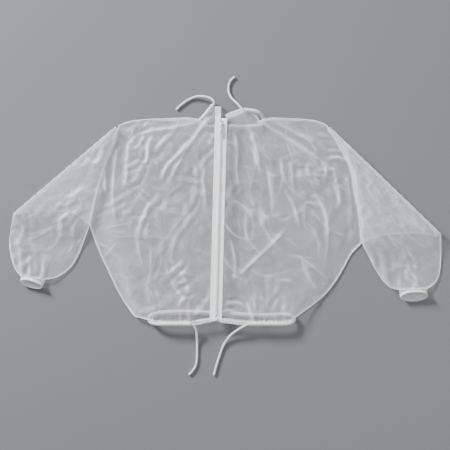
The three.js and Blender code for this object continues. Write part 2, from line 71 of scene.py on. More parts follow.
# ---- Routes, in millimetres. Each cord leaves its casing at the first point of its free end. ----
TAILS = {
    "neck_cord_tail_right": [
        (-34.7, 288.4, 23.4), (-32.2, 291.6, 23.4), (-33, 299.5, 22.4), (-41, 307.5, 19.6), (-55, 312, 15),
        (-70, 314, 9.6), (-84.8, 311.6, 5.4), (-98, 306, 3.05), (-110, 298.2, 3.05), (-121, 290, 3.05),
        (-133, 278.5, 3.05),
    ],
    "neck_cord_tail_left": [
        (47.6, 276.2, 23.4), (44.2, 276.9, 23.3), (38.5, 283, 22.3), (32.5, 290.5, 20),
        (25.2, 298.1, 16.5), (17, 306.6, 11.5), (11.2, 315.4, 7), (7.8, 325, 4), (6.6, 335.4, 3.05),
        (8, 346, 3.05), (11.9, 355.2, 3.05), (17.6, 361.6, 3.05), (24.4, 366.4, 3.05),
    ],
    "hem_cord_tail_right": [
        (-94.6, -289.1, 23.4), (-91, -289.3, 23.4), (-84.5, -293.5, 22.2), (-80.5, -302, 19.4),
        (-78, -313, 15), (-77, -327, 9), (-76.7, -343, 4.6), (-76.7, -361.5, 3.05), (-77, -380, 3.05),
        (-79, -396, 3.05), (-84, -408.5, 3.05), (-91.5, -418.5, 3.05), (-99.5, -426.5, 3.05),
    ],
    "hem_cord_tail_left": [
        (64.6, -289.1, 23.4), (60, -289.4, 23.4), (50, -293.5, 22.6), (39, -300, 20.4), (28, -307.4, 17),
        (17.2, -315.4, 13), (8, -325, 9), (0, -336, 5.6), (-7, -348.5, 3.6), (-12.5, -361.7, 3.05),
        (-17.8, -377.6, 3.05), (-23, -393.5, 3.05), (-27.8, -410, 3.05), (-32.3, -428, 3.05),
    ],
}
HELD = {
    "neck": [
        (-35, 288.1, 23.4), (-47, 273.1, 23.4), (-59, 259.1, 17.4), (-70, 247.1, 10.5), (-63, 237.1, 6.5),
        (-44, 234.1, 6.5), (14, 234.1, 6.5), (72, 234.1, 6.5), (93, 238.1, 6.5), (100, 249.1, 10.5),
        (93, 263.1, 17.4), (81, 271.1, 23.4), (64, 275.1, 23.4), (48, 276.1, 23.4),
    ],
    "hem": [
        (-95, -289.1, 23.4), (-135, -289.1, 23.4), (-168, -289.1, 22.4), (-186, -288.6, 19.4),
        (-199, -284.1, 14.9), (-204, -275.6, 10.5), (-198, -267.1, 7.8), (-184, -262.1, 6.5),
        (-165, -259.6, 6.5), (-100, -258.1, 6.5), (0, -263.1, 6.5), (100, -267.1, 6.5), (140, -265.1, 6.5),
        (161, -265.6, 6.5), (175, -269.1, 7.8), (180.5, -277.1, 10.5), (175, -284.6, 14.9),
        (162, -288.6, 19.4), (144, -289.1, 22.4), (110, -289.1, 23.4), (65, -289.1, 23.4),
    ],
}
EMPTY_CASINGS = {
    "hem_casing_end_right": [(-94, -288.5, 22.6), (-76, -286, 23), (-58, -281.5, 23.6), (-37, -278, 24.2)],
    "hem_casing_end_left": [(64, -288.5, 22.6), (44, -287, 23), (18, -283.5, 23.6), (-17, -279, 24.2)],
    "neck_casing_end_left": [(47, 276, 23), (36, 272, 23.2), (18, 266, 23.6), (0, 258, 24.2)],
}

# Folds of each front panel: route, half width, height and how far the netting tucks under itself, in mm.
FOLDS = {
    "right_front_panel": [
        ([(-92, 205), (-118, 170), (-148, 135), (-176, 86)], 7, 5, 10),
        ([(-36, 268), (-66, 229), (-92, 190), (-122, 140), (-160, 68)], 6, 4.5, 8),
        ([(-306, -62), (-262, -57), (-215, -60), (-166, -60)], 5, 3, 7),
        ([(-131, 91), (-100, 87), (-68, 82)], 4, 2.5, 5),
        ([(-87, 53), (-40, 51)], 4, 2, 4),
        ([(-173, 36), (-156, 31), (-138, 28)], 4, 2, 4),
        ([(-214, 200), (-211, 160), (-213, 120)], 7, -4, 7),
        ([(-150, -160), (-140, -190), (-108, -228)], 9, -3.5, 3),
        ([(-120, -150), (-104, -180), (-96, -214)], 7, 3, 3),
        ([(-316, 170), (-322, 110), (-318, 50)], 6, 3, 4),
        ([(-288, 190), (-296, 120), (-300, 40), (-292, -30)], 5, 2.5, 4),
        ([(-258, 200), (-262, 140), (-268, 60)], 6, 2.5, 4),
        ([(-60, 250), (-110, 236), (-170, 226), (-230, 216)], 6, 3, 5),
        ([(-196, 30), (-220, -20), (-232, -80), (-220, -140)], 8, 3.5, 5),
        ([(-56, 150), (-60, 90), (-52, 20)], 5, 2, 3),
    ],
    "left_front_panel": [
        ([(66, 262), (103, 237), (143, 211), (223, 158), (312, 92)], 8, 5.5, 11),
        ([(128, 246), (170, 224), (206, 206), (238, 188)], 7, 5, 9),
        ([(104, 144), (111, 100), (118, 50), (121, 4)], 7, -5, 9),
        ([(164, 129), (204, 131), (246, 127)], 5, 3, 7),
        ([(32, 33), (60, 12), (84, 14), (110, -14)], 8, -4, 7),
        ([(164, -28), (132, -66), (78, -118), (14, -178)], 7, 3.4, 6),
        ([(248, -214), (222, -246), (186, -268)], 7, 4, 7),
        ([(196, -107), (206, -146), (226, -180), (250, -204)], 6, -4, 7),
        ([(20, 226), (30, 170), (28, 110), (40, 60)], 5, 3, 5),
        ([(60, 230), (78, 180), (90, 120)], 6, 3.5, 6),
        ([(318, 110), (326, 60), (330, 0), (322, -50)], 5, 3, 4),
        ([(280, 140), (296, 70), (300, 0)], 6, 2.5, 4),
        ([(230, 60), (262, 10), (270, -60)], 7, 3, 5),
        ([(150, 70), (180, 20), (196, -40)], 6, 2.5, 4),
        ([(10, -60), (24, -120), (20, -180)], 6, 2.5, 4),
    ],
}


# ---- Values that a user would change ----
class JacketSizes(bpy.types.PropertyGroup):
    mesh_pitch: FloatProperty(
        name="Mesh pitch", description="Distance between threads of the netting",
        default=1.7 * MM, unit="LENGTH", precision=4)
    panel_step: FloatProperty(
        name="Cloth step", description="Distance between points of a netting panel",
        default=3.1 * MM, unit="LENGTH", precision=4)
    casing_radius: FloatProperty(
        name="Casing radius", description="Radius of the collar and hem casings round their cords",
        default=5.3 * MM, unit="LENGTH", precision=4)
    cord_diameter: FloatProperty(
        name="Cord diameter", description="Diameter of both drawcords",
        default=6 * MM, unit="LENGTH", precision=4)
    tooth_pitch: FloatProperty(
        name="Tooth pitch", description="Length of the zip for each turn of a coil",
        default=1.4 * MM, unit="LENGTH", precision=4)
    stitch_pitch: FloatProperty(
        name="Stitch pitch", description="Distance from one stitch to the next",
        default=3.2 * MM, unit="LENGTH", precision=4)
    seed: IntProperty(name="Seed", description="Changes the small random creases", default=7, min=0)


class JacketColours(bpy.types.PropertyGroup):
    netting: FloatVectorProperty(
        name="Netting", description="Colour of the netting threads", subtype="COLOR", size=4,
        default=(0.86, 0.87, 0.88, 1), min=0, max=1)
    cotton: FloatVectorProperty(
        name="Cotton", description="Colour of the cords and the elastic", subtype="COLOR", size=4,
        default=(0.88, 0.88, 0.87, 1), min=0, max=1)
    zip_white: FloatVectorProperty(
        name="Zip", description="Colour of the zip's tapes and plastic", subtype="COLOR", size=4,
        default=(0.9, 0.9, 0.91, 1), min=0, max=1)
    floor: FloatVectorProperty(
        name="Floor", description="Colour of the floor", subtype="COLOR", size=4,
        default=(0.16, 0.163, 0.17, 1), min=0, max=1)


def sizes():
    return bpy.context.scene.jacket_sizes


def colours():
    return bpy.context.scene.jacket_colours


# ---- Curves ----
def in_metres(points):
    return np.array(points, float) * MM


def smooth_line(points, step):
    """Points a step apart on a smooth curve through the given ones."""
    given = np.array(points, float)
    ends = [2 * given[0] - given[1], 2 * given[-1] - given[-2]]
    p = np.vstack([ends[0], given, ends[1]])
    fine = []
    for i in range(1, len(p) - 2):
        t = np.linspace(0, 1, 12, endpoint=False)[:, None]
        a, b, c, d = p[i - 1:i + 3]
        fine.append(0.5 * (2 * b + (c - a) * t + (2 * a - 5 * b + 4 * c - d) * t**2
                           + (3 * b - a - 3 * c + d) * t**3))
    fine = np.vstack([*fine, given[-1:]])
    length = np.concatenate([[0], np.cumsum(np.linalg.norm(np.diff(fine, axis=0), axis=1))])
    count = max(2, int(round(length[-1] / step)) + 1)
    at = np.linspace(0, length[-1], count)
    return np.stack([np.interp(at, length, fine[:, k]) for k in range(fine.shape[1])], 1)


def line_length(points):
    return float(np.linalg.norm(np.diff(points, axis=0), axis=1).sum())


def arc_lengths(points):
    return np.concatenate([[0], np.cumsum(np.linalg.norm(np.diff(points, axis=0), axis=1))])


def ramp(value, low, high):
    t = np.clip((value - low) / (high - low), 0, 1)
    return t * t * (3 - 2 * t)


def nearest_on(route, points):
    """For each point: signed distance to the route, arc length along it, and distance past its ends."""
    best = np.full(len(points), 1e9)
    signed = np.zeros(len(points))
    along = np.zeros(len(points))
    past = np.zeros(len(points))
    arcs = arc_lengths(route)
    for i in range(len(route) - 1):
        a, run = route[i], route[i + 1] - route[i]
        size = np.linalg.norm(run)
        share = ((points - a) @ run) / size**2
        held = np.clip(share, 0, 1)
        offset = points - a - held[:, None] * run
        distance = np.linalg.norm(offset, axis=1)
        closer = distance < best
        best[closer] = distance[closer]
        cross = run[0] * (points[:, 1] - a[1]) - run[1] * (points[:, 0] - a[0])
        signed[closer] = (np.sign(cross) * distance)[closer]
        along[closer] = arcs[i] + held[closer] * size
        before = np.where(i == 0, np.maximum(-share, 0), 0)
        after = np.where(i == len(route) - 2, np.maximum(share - 1, 0), 0)
        past[closer] = ((before + after) * size)[closer]
    return signed, along, past


# ---- Meshes ----
def make_object(name, vertices, faces, material, smooth=True, **values):
    """A mesh object, with each named value stored on its points for the material to read."""
    mesh = bpy.data.meshes.new(name)
    mesh.from_pydata([tuple(v) for v in np.asarray(vertices)], [], [tuple(f) for f in faces])
    mesh.update()
    for key, value in values.items():
        value = np.asarray(value, np.float32)
        kind, field = ("FLOAT_VECTOR", "vector") if value.ndim == 2 else ("FLOAT", "value")
        mesh.attributes.new(key, kind, "POINT").data.foreach_set(field, value.ravel())
    mesh.shade_smooth() if smooth else mesh.shade_flat()
    thing = bpy.data.objects.new(name, mesh)
    thing.data.materials.append(material)
    bpy.context.scene.collection.objects.link(thing)
    return thing


def frames_along(path, up=None):
    """Tangent, side and lift directions at each point of a path, turning as little as they can."""
    tangent = np.gradient(path, axis=0)
    tangent /= np.linalg.norm(tangent, axis=1)[:, None]
    lift = np.zeros_like(tangent)
    hint = np.array([0.0, 0.0, 1.0]) if up is None else np.array(up, float)
    for i, t in enumerate(tangent):
        if up is None and i:
            hint = lift[i - 1]
        flat = hint - t * (hint @ t)
        lift[i] = flat / np.linalg.norm(flat)
    return tangent, np.cross(tangent, lift), lift


def sweep(path, section, up=None, closed=False, capped=True):
    """Rings of points round a path. section(i) gives ring i as side and lift offsets in metres."""
    path = np.asarray(path, float)
    _, side, lift = frames_along(path, up)
    if closed:
        side[0] = side[-1] = (side[0] + side[-1]) / 2
    rings = []
    for i in range(len(path)):
        offsets = np.asarray(section(i), float)
        rings.append(path[i] + offsets[:, :1] * side[i] + offsets[:, 1:] * lift[i])
    around = len(rings[0])
    vertices = np.vstack(rings)
    faces = []
    laps = len(path) if closed else len(path) - 1
    for i in range(laps):
        a, b = i * around, ((i + 1) % len(path)) * around
        for k in range(around):
            n = (k + 1) % around
            faces.append((a + k, b + k, b + n, a + n))
    if capped and not closed:
        faces.append(tuple(range(around)))
        faces.append(tuple(range(len(vertices) - 1, len(vertices) - 1 - around, -1)))
    arcs = arc_lengths(path)
    turn = np.arange(around) / around
    cut = np.zeros((len(vertices), 3))
    cut[:, 0] = np.repeat(arcs, around)
    cut[:, 1] = np.tile(turn, len(path))
    return vertices, faces, cut


def join_meshes(parts):
    """Vertices, faces and cut positions of several swept pieces as one."""
    vertices, faces, cuts, base = [], [], [], 0
    for v, f, c in parts:
        vertices.append(v)
        cuts.append(c)
        faces.extend(tuple(k + base for k in face) for face in f)
        base += len(v)
    return np.vstack(vertices), faces, np.vstack(cuts)


def oval(half_width, half_height, count):
    a = np.arange(count) * 2 * math.pi / count
    return np.stack([half_width * np.cos(a), half_height * np.sin(a)], 1)


def ride(thing, body, slot, *nodes):
    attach(thing, body)
    if nodes:
        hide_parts(*nodes)
    return thing


# ---- Shader groups that several materials share ----
def new_group(name, inputs, outputs):
    group = bpy.data.node_groups.new(name, "ShaderNodeTree")
    for label, kind, default in inputs:
        socket = group.interface.new_socket(label, in_out="INPUT", socket_type=kind)
        if default is not None:
            socket.default_value = default
    for label, kind in outputs:
        group.interface.new_socket(label, in_out="OUTPUT", socket_type=kind)
    return group, group.nodes.new("NodeGroupInput"), group.nodes.new("NodeGroupOutput")


def maths(tree, operation, a, b=None, clamp=False):
    """A Math node's result. a and b are sockets or numbers."""
    node = tree.nodes.new("ShaderNodeMath")
    node.operation = operation
    node.use_clamp = clamp
    for socket, value in zip(node.inputs, (a, b)):
        if value is None:
            continue
        if isinstance(value, bpy.types.NodeSocket):
            tree.links.new(value, socket)
        else:
            socket.default_value = value
    return node.outputs[0]


def ranged(tree, value, low, high, to_low, to_high):
    """value eased from the range low to high into the range to_low to to_high."""
    node = tree.nodes.new("ShaderNodeMapRange")
    node.interpolation_type = "SMOOTHSTEP"
    tree.links.new(value, node.inputs["Value"])
    numbers = {"From Min": low, "From Max": high, "To Min": to_low, "To Max": to_high}
    for label, number in numbers.items():
        if isinstance(number, bpy.types.NodeSocket):
            tree.links.new(number, node.inputs[label])
        else:
            node.inputs[label].default_value = number
    return node.outputs["Result"]


def noise(tree, vector, scale, detail=3.0):
    node = tree.nodes.new("ShaderNodeTexNoise")
    node.inputs["Scale"].default_value = scale
    node.inputs["Detail"].default_value = detail
    tree.links.new(vector, node.inputs["Vector"])
    return node.outputs["Fac"]


def net_group():
    """Crossed threads with open diamonds between them: where a thread is, and how high it stands."""
    group, given, made = new_group(
        "net_threads",
        [
            ("Cut", "NodeSocketVector", None),
            ("Pitch", "NodeSocketFloat", 0.0017),
            ("Thread", "NodeSocketFloat", 0.4),
        ],
        [("Mask", "NodeSocketFloat"), ("Height", "NodeSocketFloat")],
    )
    split = group.nodes.new("ShaderNodeSeparateXYZ")
    group.links.new(given.outputs["Cut"], split.inputs[0])
    waves = []
    for operation in ("ADD", "SUBTRACT"):
        mixed = maths(group, operation, split.outputs["X"], split.outputs["Y"])
        turns = maths(group, "DIVIDE", mixed, given.outputs["Pitch"])
        wave = maths(group, "SINE", maths(group, "MULTIPLY", turns, math.pi / math.sqrt(2)))
        waves.append(maths(group, "ABSOLUTE", wave))
    low = maths(group, "MULTIPLY", given.outputs["Thread"], 0.7)
    high = maths(group, "MULTIPLY", given.outputs["Thread"], 1.3)
    threads = [ranged(group, wave, low, high, 1.0, 0.0) for wave in waves]
    group.links.new(maths(group, "MAXIMUM", *threads), made.inputs["Mask"])
    group.links.new(maths(group, "ADD", *threads), made.inputs["Height"])
    return group


def twill_group():
    """Fine diagonal ribs of a woven tape or cord, from lengthways and sideways distances."""
    group, given, made = new_group(
        "twill_ribs",
        [
            ("Cut", "NodeSocketVector", None),
            ("Pitch", "NodeSocketFloat", 0.0007),
            ("Slant", "NodeSocketFloat", 0.8),
        ],
        [("Height", "NodeSocketFloat")],
    )
    split = group.nodes.new("ShaderNodeSeparateXYZ")
    group.links.new(given.outputs["Cut"], split.inputs[0])
    slanted = maths(group, "MULTIPLY", split.outputs["Y"], given.outputs["Slant"])
    ribs = []
    for operation, share in (("ADD", 1.0), ("SUBTRACT", 0.6)):
        place = maths(group, operation, split.outputs["X"], slanted)
        place = maths(group, "DIVIDE", place, given.outputs["Pitch"])
        wave = maths(group, "SINE", maths(group, "MULTIPLY", place, 2 * math.pi))
        ribs.append(maths(group, "MULTIPLY", wave, share))
    group.links.new(maths(group, "ADD", *ribs), made.inputs["Height"])
    return group


def wear_group():
    """Soft patches of tone, and finer fibres, from a position in metres."""
    group, given, made = new_group(
        "soft_wear",
        [("Position", "NodeSocketVector", None), ("Strength", "NodeSocketFloat", 0.1)],
        [("Shade", "NodeSocketFloat"), ("Fibre", "NodeSocketFloat")],
    )
    patches = noise(group, given.outputs["Position"], 9.0)
    fibres = noise(group, given.outputs["Position"], 1400.0, 2.0)
    shade = maths(group, "MULTIPLY", patches, given.outputs["Strength"])
    group.links.new(maths(group, "SUBTRACT", 1.0, shade), made.inputs["Shade"])
    group.links.new(fibres, made.inputs["Fibre"])
    return group


class Finish:
    """A new material with its Principled shader, and short ways to add to it."""

    groups = {}

    def __init__(self, name, colour, roughness):
        self.material = bpy.data.materials.new(name)
        self.material.use_nodes = True
        self.tree = self.material.node_tree
        self.shader = self.tree.nodes["Principled BSDF"]
        self.shader.inputs["Base Color"].default_value = tuple(colour)
        self.shader.inputs["Roughness"].default_value = roughness
        self.colour = tuple(colour)

    def place(self, maker, vector, **numbers):
        """A shared node group in this material, fed with a vector and its own numbers."""
        if maker not in Finish.groups:
            Finish.groups[maker] = maker()
        node = self.tree.nodes.new("ShaderNodeGroup")
        node.node_tree = Finish.groups[maker]
        self.tree.links.new(vector, node.inputs[0])
        for label, number in numbers.items():
            node.inputs[label].default_value = number
        return node.outputs

    def stored(self, name, output="Vector"):
        node = self.tree.nodes.new("ShaderNodeAttribute")
        node.attribute_name = name
        return node.outputs[output]

    def position(self):
        return self.tree.nodes.new("ShaderNodeTexCoord").outputs["Object"]

    def shaded(self, factor, dark=0.72):
        """Base colour that goes from a darker tone to its own as the factor goes from 0 to 1."""
        mix = self.tree.nodes.new("ShaderNodeMix")
        mix.data_type = "RGBA"
        mix.inputs["A"].default_value = (*[c * dark for c in self.colour[:3]], 1)
        mix.inputs["B"].default_value = self.colour
        self.tree.links.new(factor, mix.inputs["Factor"])
        self.tree.links.new(mix.outputs["Result"], self.shader.inputs["Base Color"])

    def bumped(self, height, distance, strength=1.0):
        bump = self.tree.nodes.new("ShaderNodeBump")
        bump.inputs["Distance"].default_value = distance
        bump.inputs["Strength"].default_value = strength
        self.tree.links.new(height, bump.inputs["Height"])
        self.tree.links.new(bump.outputs["Normal"], self.shader.inputs["Normal"])

    def seen_through(self, coverage):
        self.tree.links.new(coverage, self.shader.inputs["Alpha"])
        self.material.surface_render_method = "DITHERED"


# Share of the ground that is hidden by a thread, by a full fold and by netting that is wholly closed up
THREAD_COVER, FOLD_COVER, CLOSED_COVER = 0.92, 0.62, 0.8
HEM_BAND = (4.5 * MM, 6 * MM)  # the doubled edge fades out between these distances from the outline


def netting_material(name, opening=0.02, thread=0.2):
    """White netting: threads over open diamonds, closer in folds and doubled at the sewn edges."""
    finish = Finish(name, colours().netting, 0.62)
    tree = finish.tree
    net = finish.place(net_group, finish.stored("cut"), Pitch=sizes().mesh_pitch, Thread=thread)
    wear = finish.place(wear_group, finish.position(), Strength=0.3)
    fold = finish.stored("fold", "Fac")
    hem = ranged(tree, finish.stored("rim", "Fac"), *HEM_BAND, 0.3, 0.0)
    closed = maths(tree, "ADD", maths(tree, "MULTIPLY", fold, FOLD_COVER), hem, clamp=True)
    between = maths(tree, "ADD", maths(tree, "MULTIPLY", closed, CLOSED_COVER), opening, clamp=True)
    covered = maths(tree, "MAXIMUM", maths(tree, "MULTIPLY", net["Mask"], THREAD_COVER), between)
    finish.seen_through(covered)
    finish.shaded(wear["Shade"])
    finish.bumped(net["Height"], 0.2 * MM, 0.6)
    finish.shader.inputs["Sheen Weight"].default_value = 0.35
    finish.shader.inputs["Sheen Roughness"].default_value = 0.4
    finish.shader.inputs["Subsurface Weight"].default_value = 0.1
    finish.shader.inputs["Subsurface Scale"].default_value = 1 * MM
    return finish.material


def woven_material(name, colour, pitch, slant, depth, dark=0.78):
    """A fine ribbed weave for cords, elastic, tapes and thread, with painted shade that darkens its base
    colour in the grooves between the ribs.
    """
    finish = Finish(name, colour, 0.8)
    tree = finish.tree
    twill = finish.place(twill_group, finish.stored("cut"), Pitch=pitch, Slant=slant)
    wear = finish.place(wear_group, finish.position(), Strength=0.35)
    # painted shade: the base colour darkens in the grooves between the twill ribs, on top of the random tone
    # patches
    painted_groove_shade = ranged(tree, twill["Height"], -1.4, 0.2, 0.25, 1.0)
    finish.shaded(maths(tree, "MULTIPLY", painted_groove_shade, wear["Shade"]), dark)
    height = maths(tree, "ADD", twill["Height"], maths(tree, "MULTIPLY", wear["Fibre"], 0.8))
    finish.bumped(height, depth, 0.8)
    finish.shader.inputs["Sheen Weight"].default_value = 0.3
    finish.shader.inputs["Sheen Roughness"].default_value = 0.5
    return finish.material


def moulded_material(name, colour, roughness, coat=0.0):
    """Smooth white plastic or paint with faint marks and a slightly uneven gloss."""
    finish = Finish(name, colour, roughness)
    wear = finish.place(wear_group, finish.position(), Strength=0.25)
    finish.shaded(wear["Shade"], 0.8)
    gloss = ranged(finish.tree, wear["Fibre"], 0.3, 0.7, roughness - 0.08, roughness + 0.1)
    finish.tree.links.new(gloss, finish.shader.inputs["Roughness"])
    finish.bumped(wear["Fibre"], 0.02 * MM, 0.5)
    finish.shader.inputs["Coat Weight"].default_value = coat
    finish.shader.inputs["Coat Roughness"].default_value = 0.15
    return finish.material


def kept(name, maker, *values, **named):
    """The material of that name, made the first time it is asked for."""
    return bpy.data.materials.get(name) or maker(name, *values, **named)


def netting():
    """The netting of the panels."""
    return kept("white_netting", netting_material)


def gathered_netting():
    return kept("gathered_netting", netting_material, opening=0.42, thread=0.5)


def cord_weave():
    return kept("braided_cord", woven_material, colours().cotton, 0.9 * MM, 2.2, 0.12 * MM)


def elastic_weave():
    return kept("cuff_elastic", woven_material, colours().cotton, 1.1 * MM, 0.15, 0.2 * MM)


def tape_weave():
    return kept("zip_tape", woven_material, colours().zip_white, 0.8 * MM, 0.9, 0.08 * MM)


def thread_finish():
    return kept("sewing_thread", woven_material, colours().cotton, 0.4 * MM, 1.5, 0.05 * MM)


def nylon():
    return kept("zip_nylon", moulded_material, colours().zip_white, 0.34)


def painted_metal():
    return kept("painted_slider", moulded_material, colours().zip_white, 0.3, coat=0.6)


# ---- Netting panels ----
def skin_of(node):
    """The upward faces of a CAD node: merged vertices, triangles, and the loop of its outline."""
    work = bmesh.new()
    work.from_mesh(frame["nodes"][node].data)
    bmesh.ops.remove_doubles(work, verts=work.verts, dist=0.01 * MM)
    work.normal_update()
    bmesh.ops.delete(work, geom=[f for f in work.faces if f.normal.z < 0.12], context="FACES")
    bmesh.ops.triangulate(work, faces=work.faces)
    work.verts.index_update()
    vertices = np.array([v.co for v in work.verts], float)
    faces = [tuple(v.index for v in f.verts) for f in work.faces]
    links = {}
    for edge in work.edges:
        if len(edge.link_faces) == 1:
            a, b = (v.index for v in edge.verts)
            links.setdefault(a, []).append(b)
            links.setdefault(b, []).append(a)
    work.free()
    longest = []
    unseen = set(links)
    while unseen:
        start = min(unseen)
        loop, previous = [start], None
        while True:
            unseen.discard(loop[-1])
            after = [k for k in links[loop[-1]] if k != previous and k in unseen]
            if not after:
                break
            previous = loop[-1]
            loop.append(after[0])
        if len(loop) > len(longest):
            longest = loop
    return vertices, faces, vertices[longest]


def rounded_outline(loop, step):
    """The outline with points a step apart on smooth curves, its sharp corners kept."""
    before = loop - np.roll(loop, 1, axis=0)
    after = np.roll(loop, -1, axis=0) - loop
    angle = [Vector(a[:2]).angle(Vector(b[:2]), 0.0) for a, b in zip(before, after)]
    corners = [i for i, turn in enumerate(angle) if turn > math.radians(34)] or [0]
    pieces = []
    for k, first in enumerate(corners):
        last = corners[(k + 1) % len(corners)]
        last += len(loop) if last <= first else 0
        stretch = np.array([loop[i % len(loop)] for i in range(first, last + 1)])
        if len(stretch) > 2:
            pieces.append(smooth_line(stretch, step)[:-1])
        else:
            count = max(1, int(round(np.linalg.norm(stretch[1] - stretch[0]) / step)))
            share = (np.arange(count) / count)[:, None]
            pieces.append(stretch[0] + share * (stretch[1] - stretch[0]))
    return np.vstack(pieces)


def inside(points, loop):
    result = np.zeros(len(points), bool)
    x, y = points[:, 0], points[:, 1]
    for a, b in zip(loop, np.roll(loop, -1, axis=0)):
        if a[1] == b[1]:
            continue
        crosses = (a[1] > y) != (b[1] > y)
        result ^= crosses & (x < (b[0] - a[0]) * (y - a[1]) / (b[1] - a[1]) + a[0])
    return result


ON_RIM = 1e-5  # a point nearer than this to the outline lies on it
LOWEST = 0.35 * MM  # netting stays this high over the surface
STEEP_FOLD = 2.8  # how much closer the threads look where the netting stands up
BODY_SLACK = {"back": 0.1, "front": 0.11}  # extra width as a share of the netting's own
SLEEVE_SLACK = 0.1


class Panel:
    """A piece of netting over its CAD node, as points that are creased before the mesh is made."""

    def __init__(self, node, step, lift=-0.6 * MM):
        self.node = node
        vertices, faces, loop = skin_of(node)
        self.outline = rounded_outline(loop, step)
        rim_points = self.outline[:, :2]
        low, high = rim_points.min(0), rim_points.max(0)
        rows = np.arange(low[1], high[1], step * math.sqrt(3) / 2)
        grid = np.array([(x + (k % 2) * step / 2, y) for k, y in enumerate(rows)
                         for x in np.arange(low[0], high[0], step)])
        grid = grid[inside(grid, rim_points)]
        grid = grid[self.distances(grid)[0] > 0.55 * step]
        plan = np.vstack([rim_points, grid])
        count = len(rim_points)
        edges = [(i, (i + 1) % count) for i in range(count)]
        made = geometry.delaunay_2d_cdt([Vector(p) for p in plan], edges, [], 1, 1e-7)
        self.points = np.array([(p.x, p.y, 0.0) for p in made[0]])
        self.faces = [tuple(f) for f in made[2]]
        self.rim, self.arc = self.distances(self.points[:, :2])
        self.cut = self.points.copy()
        self.drape(vertices, faces, lift)
        self.even_rim(9 * MM / step)
        self.level = self.points[:, 2].copy()
        self.fold = np.zeros(len(self.points))

    def distances(self, points):
        """Distance to the outline, and the arc length of the nearest place on it."""
        rim_points = self.outline[:, :2]
        arcs = arc_lengths(rim_points)
        best, arc = np.empty(len(points)), np.empty(len(points))
        for start in range(0, len(points), 2000):
            part = points[start:start + 2000]
            gaps = np.linalg.norm(part[:, None] - rim_points[None], axis=2)
            nearest = gaps.argmin(1)
            best[start:start + 2000] = gaps.min(1)
            arc[start:start + 2000] = arcs[nearest]
        return best, arc

    def drape(self, vertices, faces, lift):
        """Takes each point's height from the CAD surface and rounds off the flats between its facets."""
        tree = BVHTree.FromPolygons([Vector(v) for v in vertices], faces)
        down = Vector((0, 0, -1))
        for i, (x, y, _) in enumerate(self.points):
            hit = tree.ray_cast(Vector((x, y, 1.0)), down)[0]
            hit = hit or tree.find_nearest(Vector((x, y, 0.012)))[0]
            self.points[i, 2] = hit.z + lift
        self.soften(12)

    def even_rim(self, spread):
        """Takes the small steps out of the height of the outline, over a few of its points."""
        rim = np.flatnonzero(self.rim < 1e-5)
        rim = rim[np.argsort(self.arc[rim])]
        reach = int(3 * spread)
        weights = np.exp(-0.5 * (np.arange(-reach, reach + 1) / spread) ** 2)
        height = np.pad(self.points[rim, 2], reach, mode="wrap")
        self.points[rim, 2] = np.convolve(height, weights / weights.sum(), mode="valid")
        self.soften(4)

    def soften(self, times, weight=0.5):
        pairs = np.array([(f[i], f[(i + 1) % 3]) for f in self.faces for i in range(3)])
        degree = np.bincount(pairs[:, 0], minlength=len(self.points)) + np.bincount(
            pairs[:, 1], minlength=len(self.points))
        free = (self.rim > 1e-5) & (degree > 0)
        for _ in range(times):
            z = self.points[:, 2]
            total = np.bincount(pairs[:, 0], z[pairs[:, 1]], len(z)) + np.bincount(
                pairs[:, 1], z[pairs[:, 0]], len(z))
            mean = total / np.maximum(degree, 1)
            self.points[free, 2] += weight * (mean - z)[free]

    def crease(self, route, width, height, tuck=0.0, edge=14 * MM):
        """A ridge or furrow along the route, with the netting tucked under itself where tuck passes width."""
        line = smooth_line(route, 8 * MM)
        distance, along, past = nearest_on(line, self.cut[:, :2])
        length = line_length(line)
        taper = ramp(along, 0, 0.22 * length) * ramp(length - along, 0, 0.22 * length)
        taper = taper * np.exp(-(past / width) ** 2) * ramp(self.rim, 0, edge)
        crest = 0.3 * width
        near = np.exp(-(np.hypot(distance, crest) - crest) / (0.7 * width))
        self.points[:, 2] += height * near * taper
        strength = min(1.0, abs(height) / (2.4 * MM))
        self.fold += 0.75 * np.exp(-(distance / (0.4 * width)) ** 2) * taper * strength
        if tuck:
            run = np.gradient(line, axis=0)
            run /= np.linalg.norm(run, axis=1)[:, None]
            last = len(line) - 1
            which = np.clip((along / max(length, 1e-9) * last).round().astype(int), 0, last)
            normal = np.stack([-run[which, 1], run[which, 0]], 1)
            share = distance / width
            shift = -tuck * share * np.exp(-share**2) * taper
            self.points[:, :2] += normal * shift[:, None]
            self.points[:, 2] += 0.9 * MM * np.tanh(2 * share) * np.exp(-(share / 2.2) ** 2) * taper

    def ruffle(self, seed, count, length, width, height, lean=None, spread=1.2, edge=14 * MM):
        """Short random creases, strewn over the panel."""
        draw = np.random.default_rng(seed)
        for _ in range(count):
            centre = self.cut[draw.integers(len(self.cut)), :2]
            heading = draw.uniform(0, math.pi) if lean is None else lean + draw.normal(0, spread)
            half = draw.uniform(0.5, 1.0) * length / 2
            step = half * np.array([math.cos(heading), math.sin(heading)])
            bow = draw.normal(0, 0.18) * np.array([-step[1], step[0]])
            route = [centre - step, centre + bow, centre + step]
            tall = draw.uniform(0.4, 1.0) * height * draw.choice([-1, 1], p=[0.35, 0.65])
            wide = draw.uniform(0.6, 1.2) * width
            self.crease(route, wide, tall, tuck=draw.choice([0, 0.9]) * wide, edge=edge)

    def slacken(self, extra, low, high, seed, source, sink, scale=34 * MM, passes=200):
        """Gives the netting more width than it has room for, so that it buckles into folds that run from
        a source to a sink, two places where it is drawn together."""
        faces = np.array(self.faces)
        pairs = np.vstack([faces[:, :2], faces[:, 1:], faces[:, [2, 0]]])
        one, other = np.unique(np.sort(pairs, axis=1), axis=0).T
        count = len(self.points)
        degree = (np.bincount(one, minlength=count) + np.bincount(other, minlength=count))[:, None]

        def gathered(to_one, to_other):
            return np.stack([np.bincount(one, a, count) + np.bincount(other, b, count)
                             for a, b in zip(to_one.T, to_other.T)], 1) / degree

        def bend(values):
            return gathered(values[other], values[one]) - values

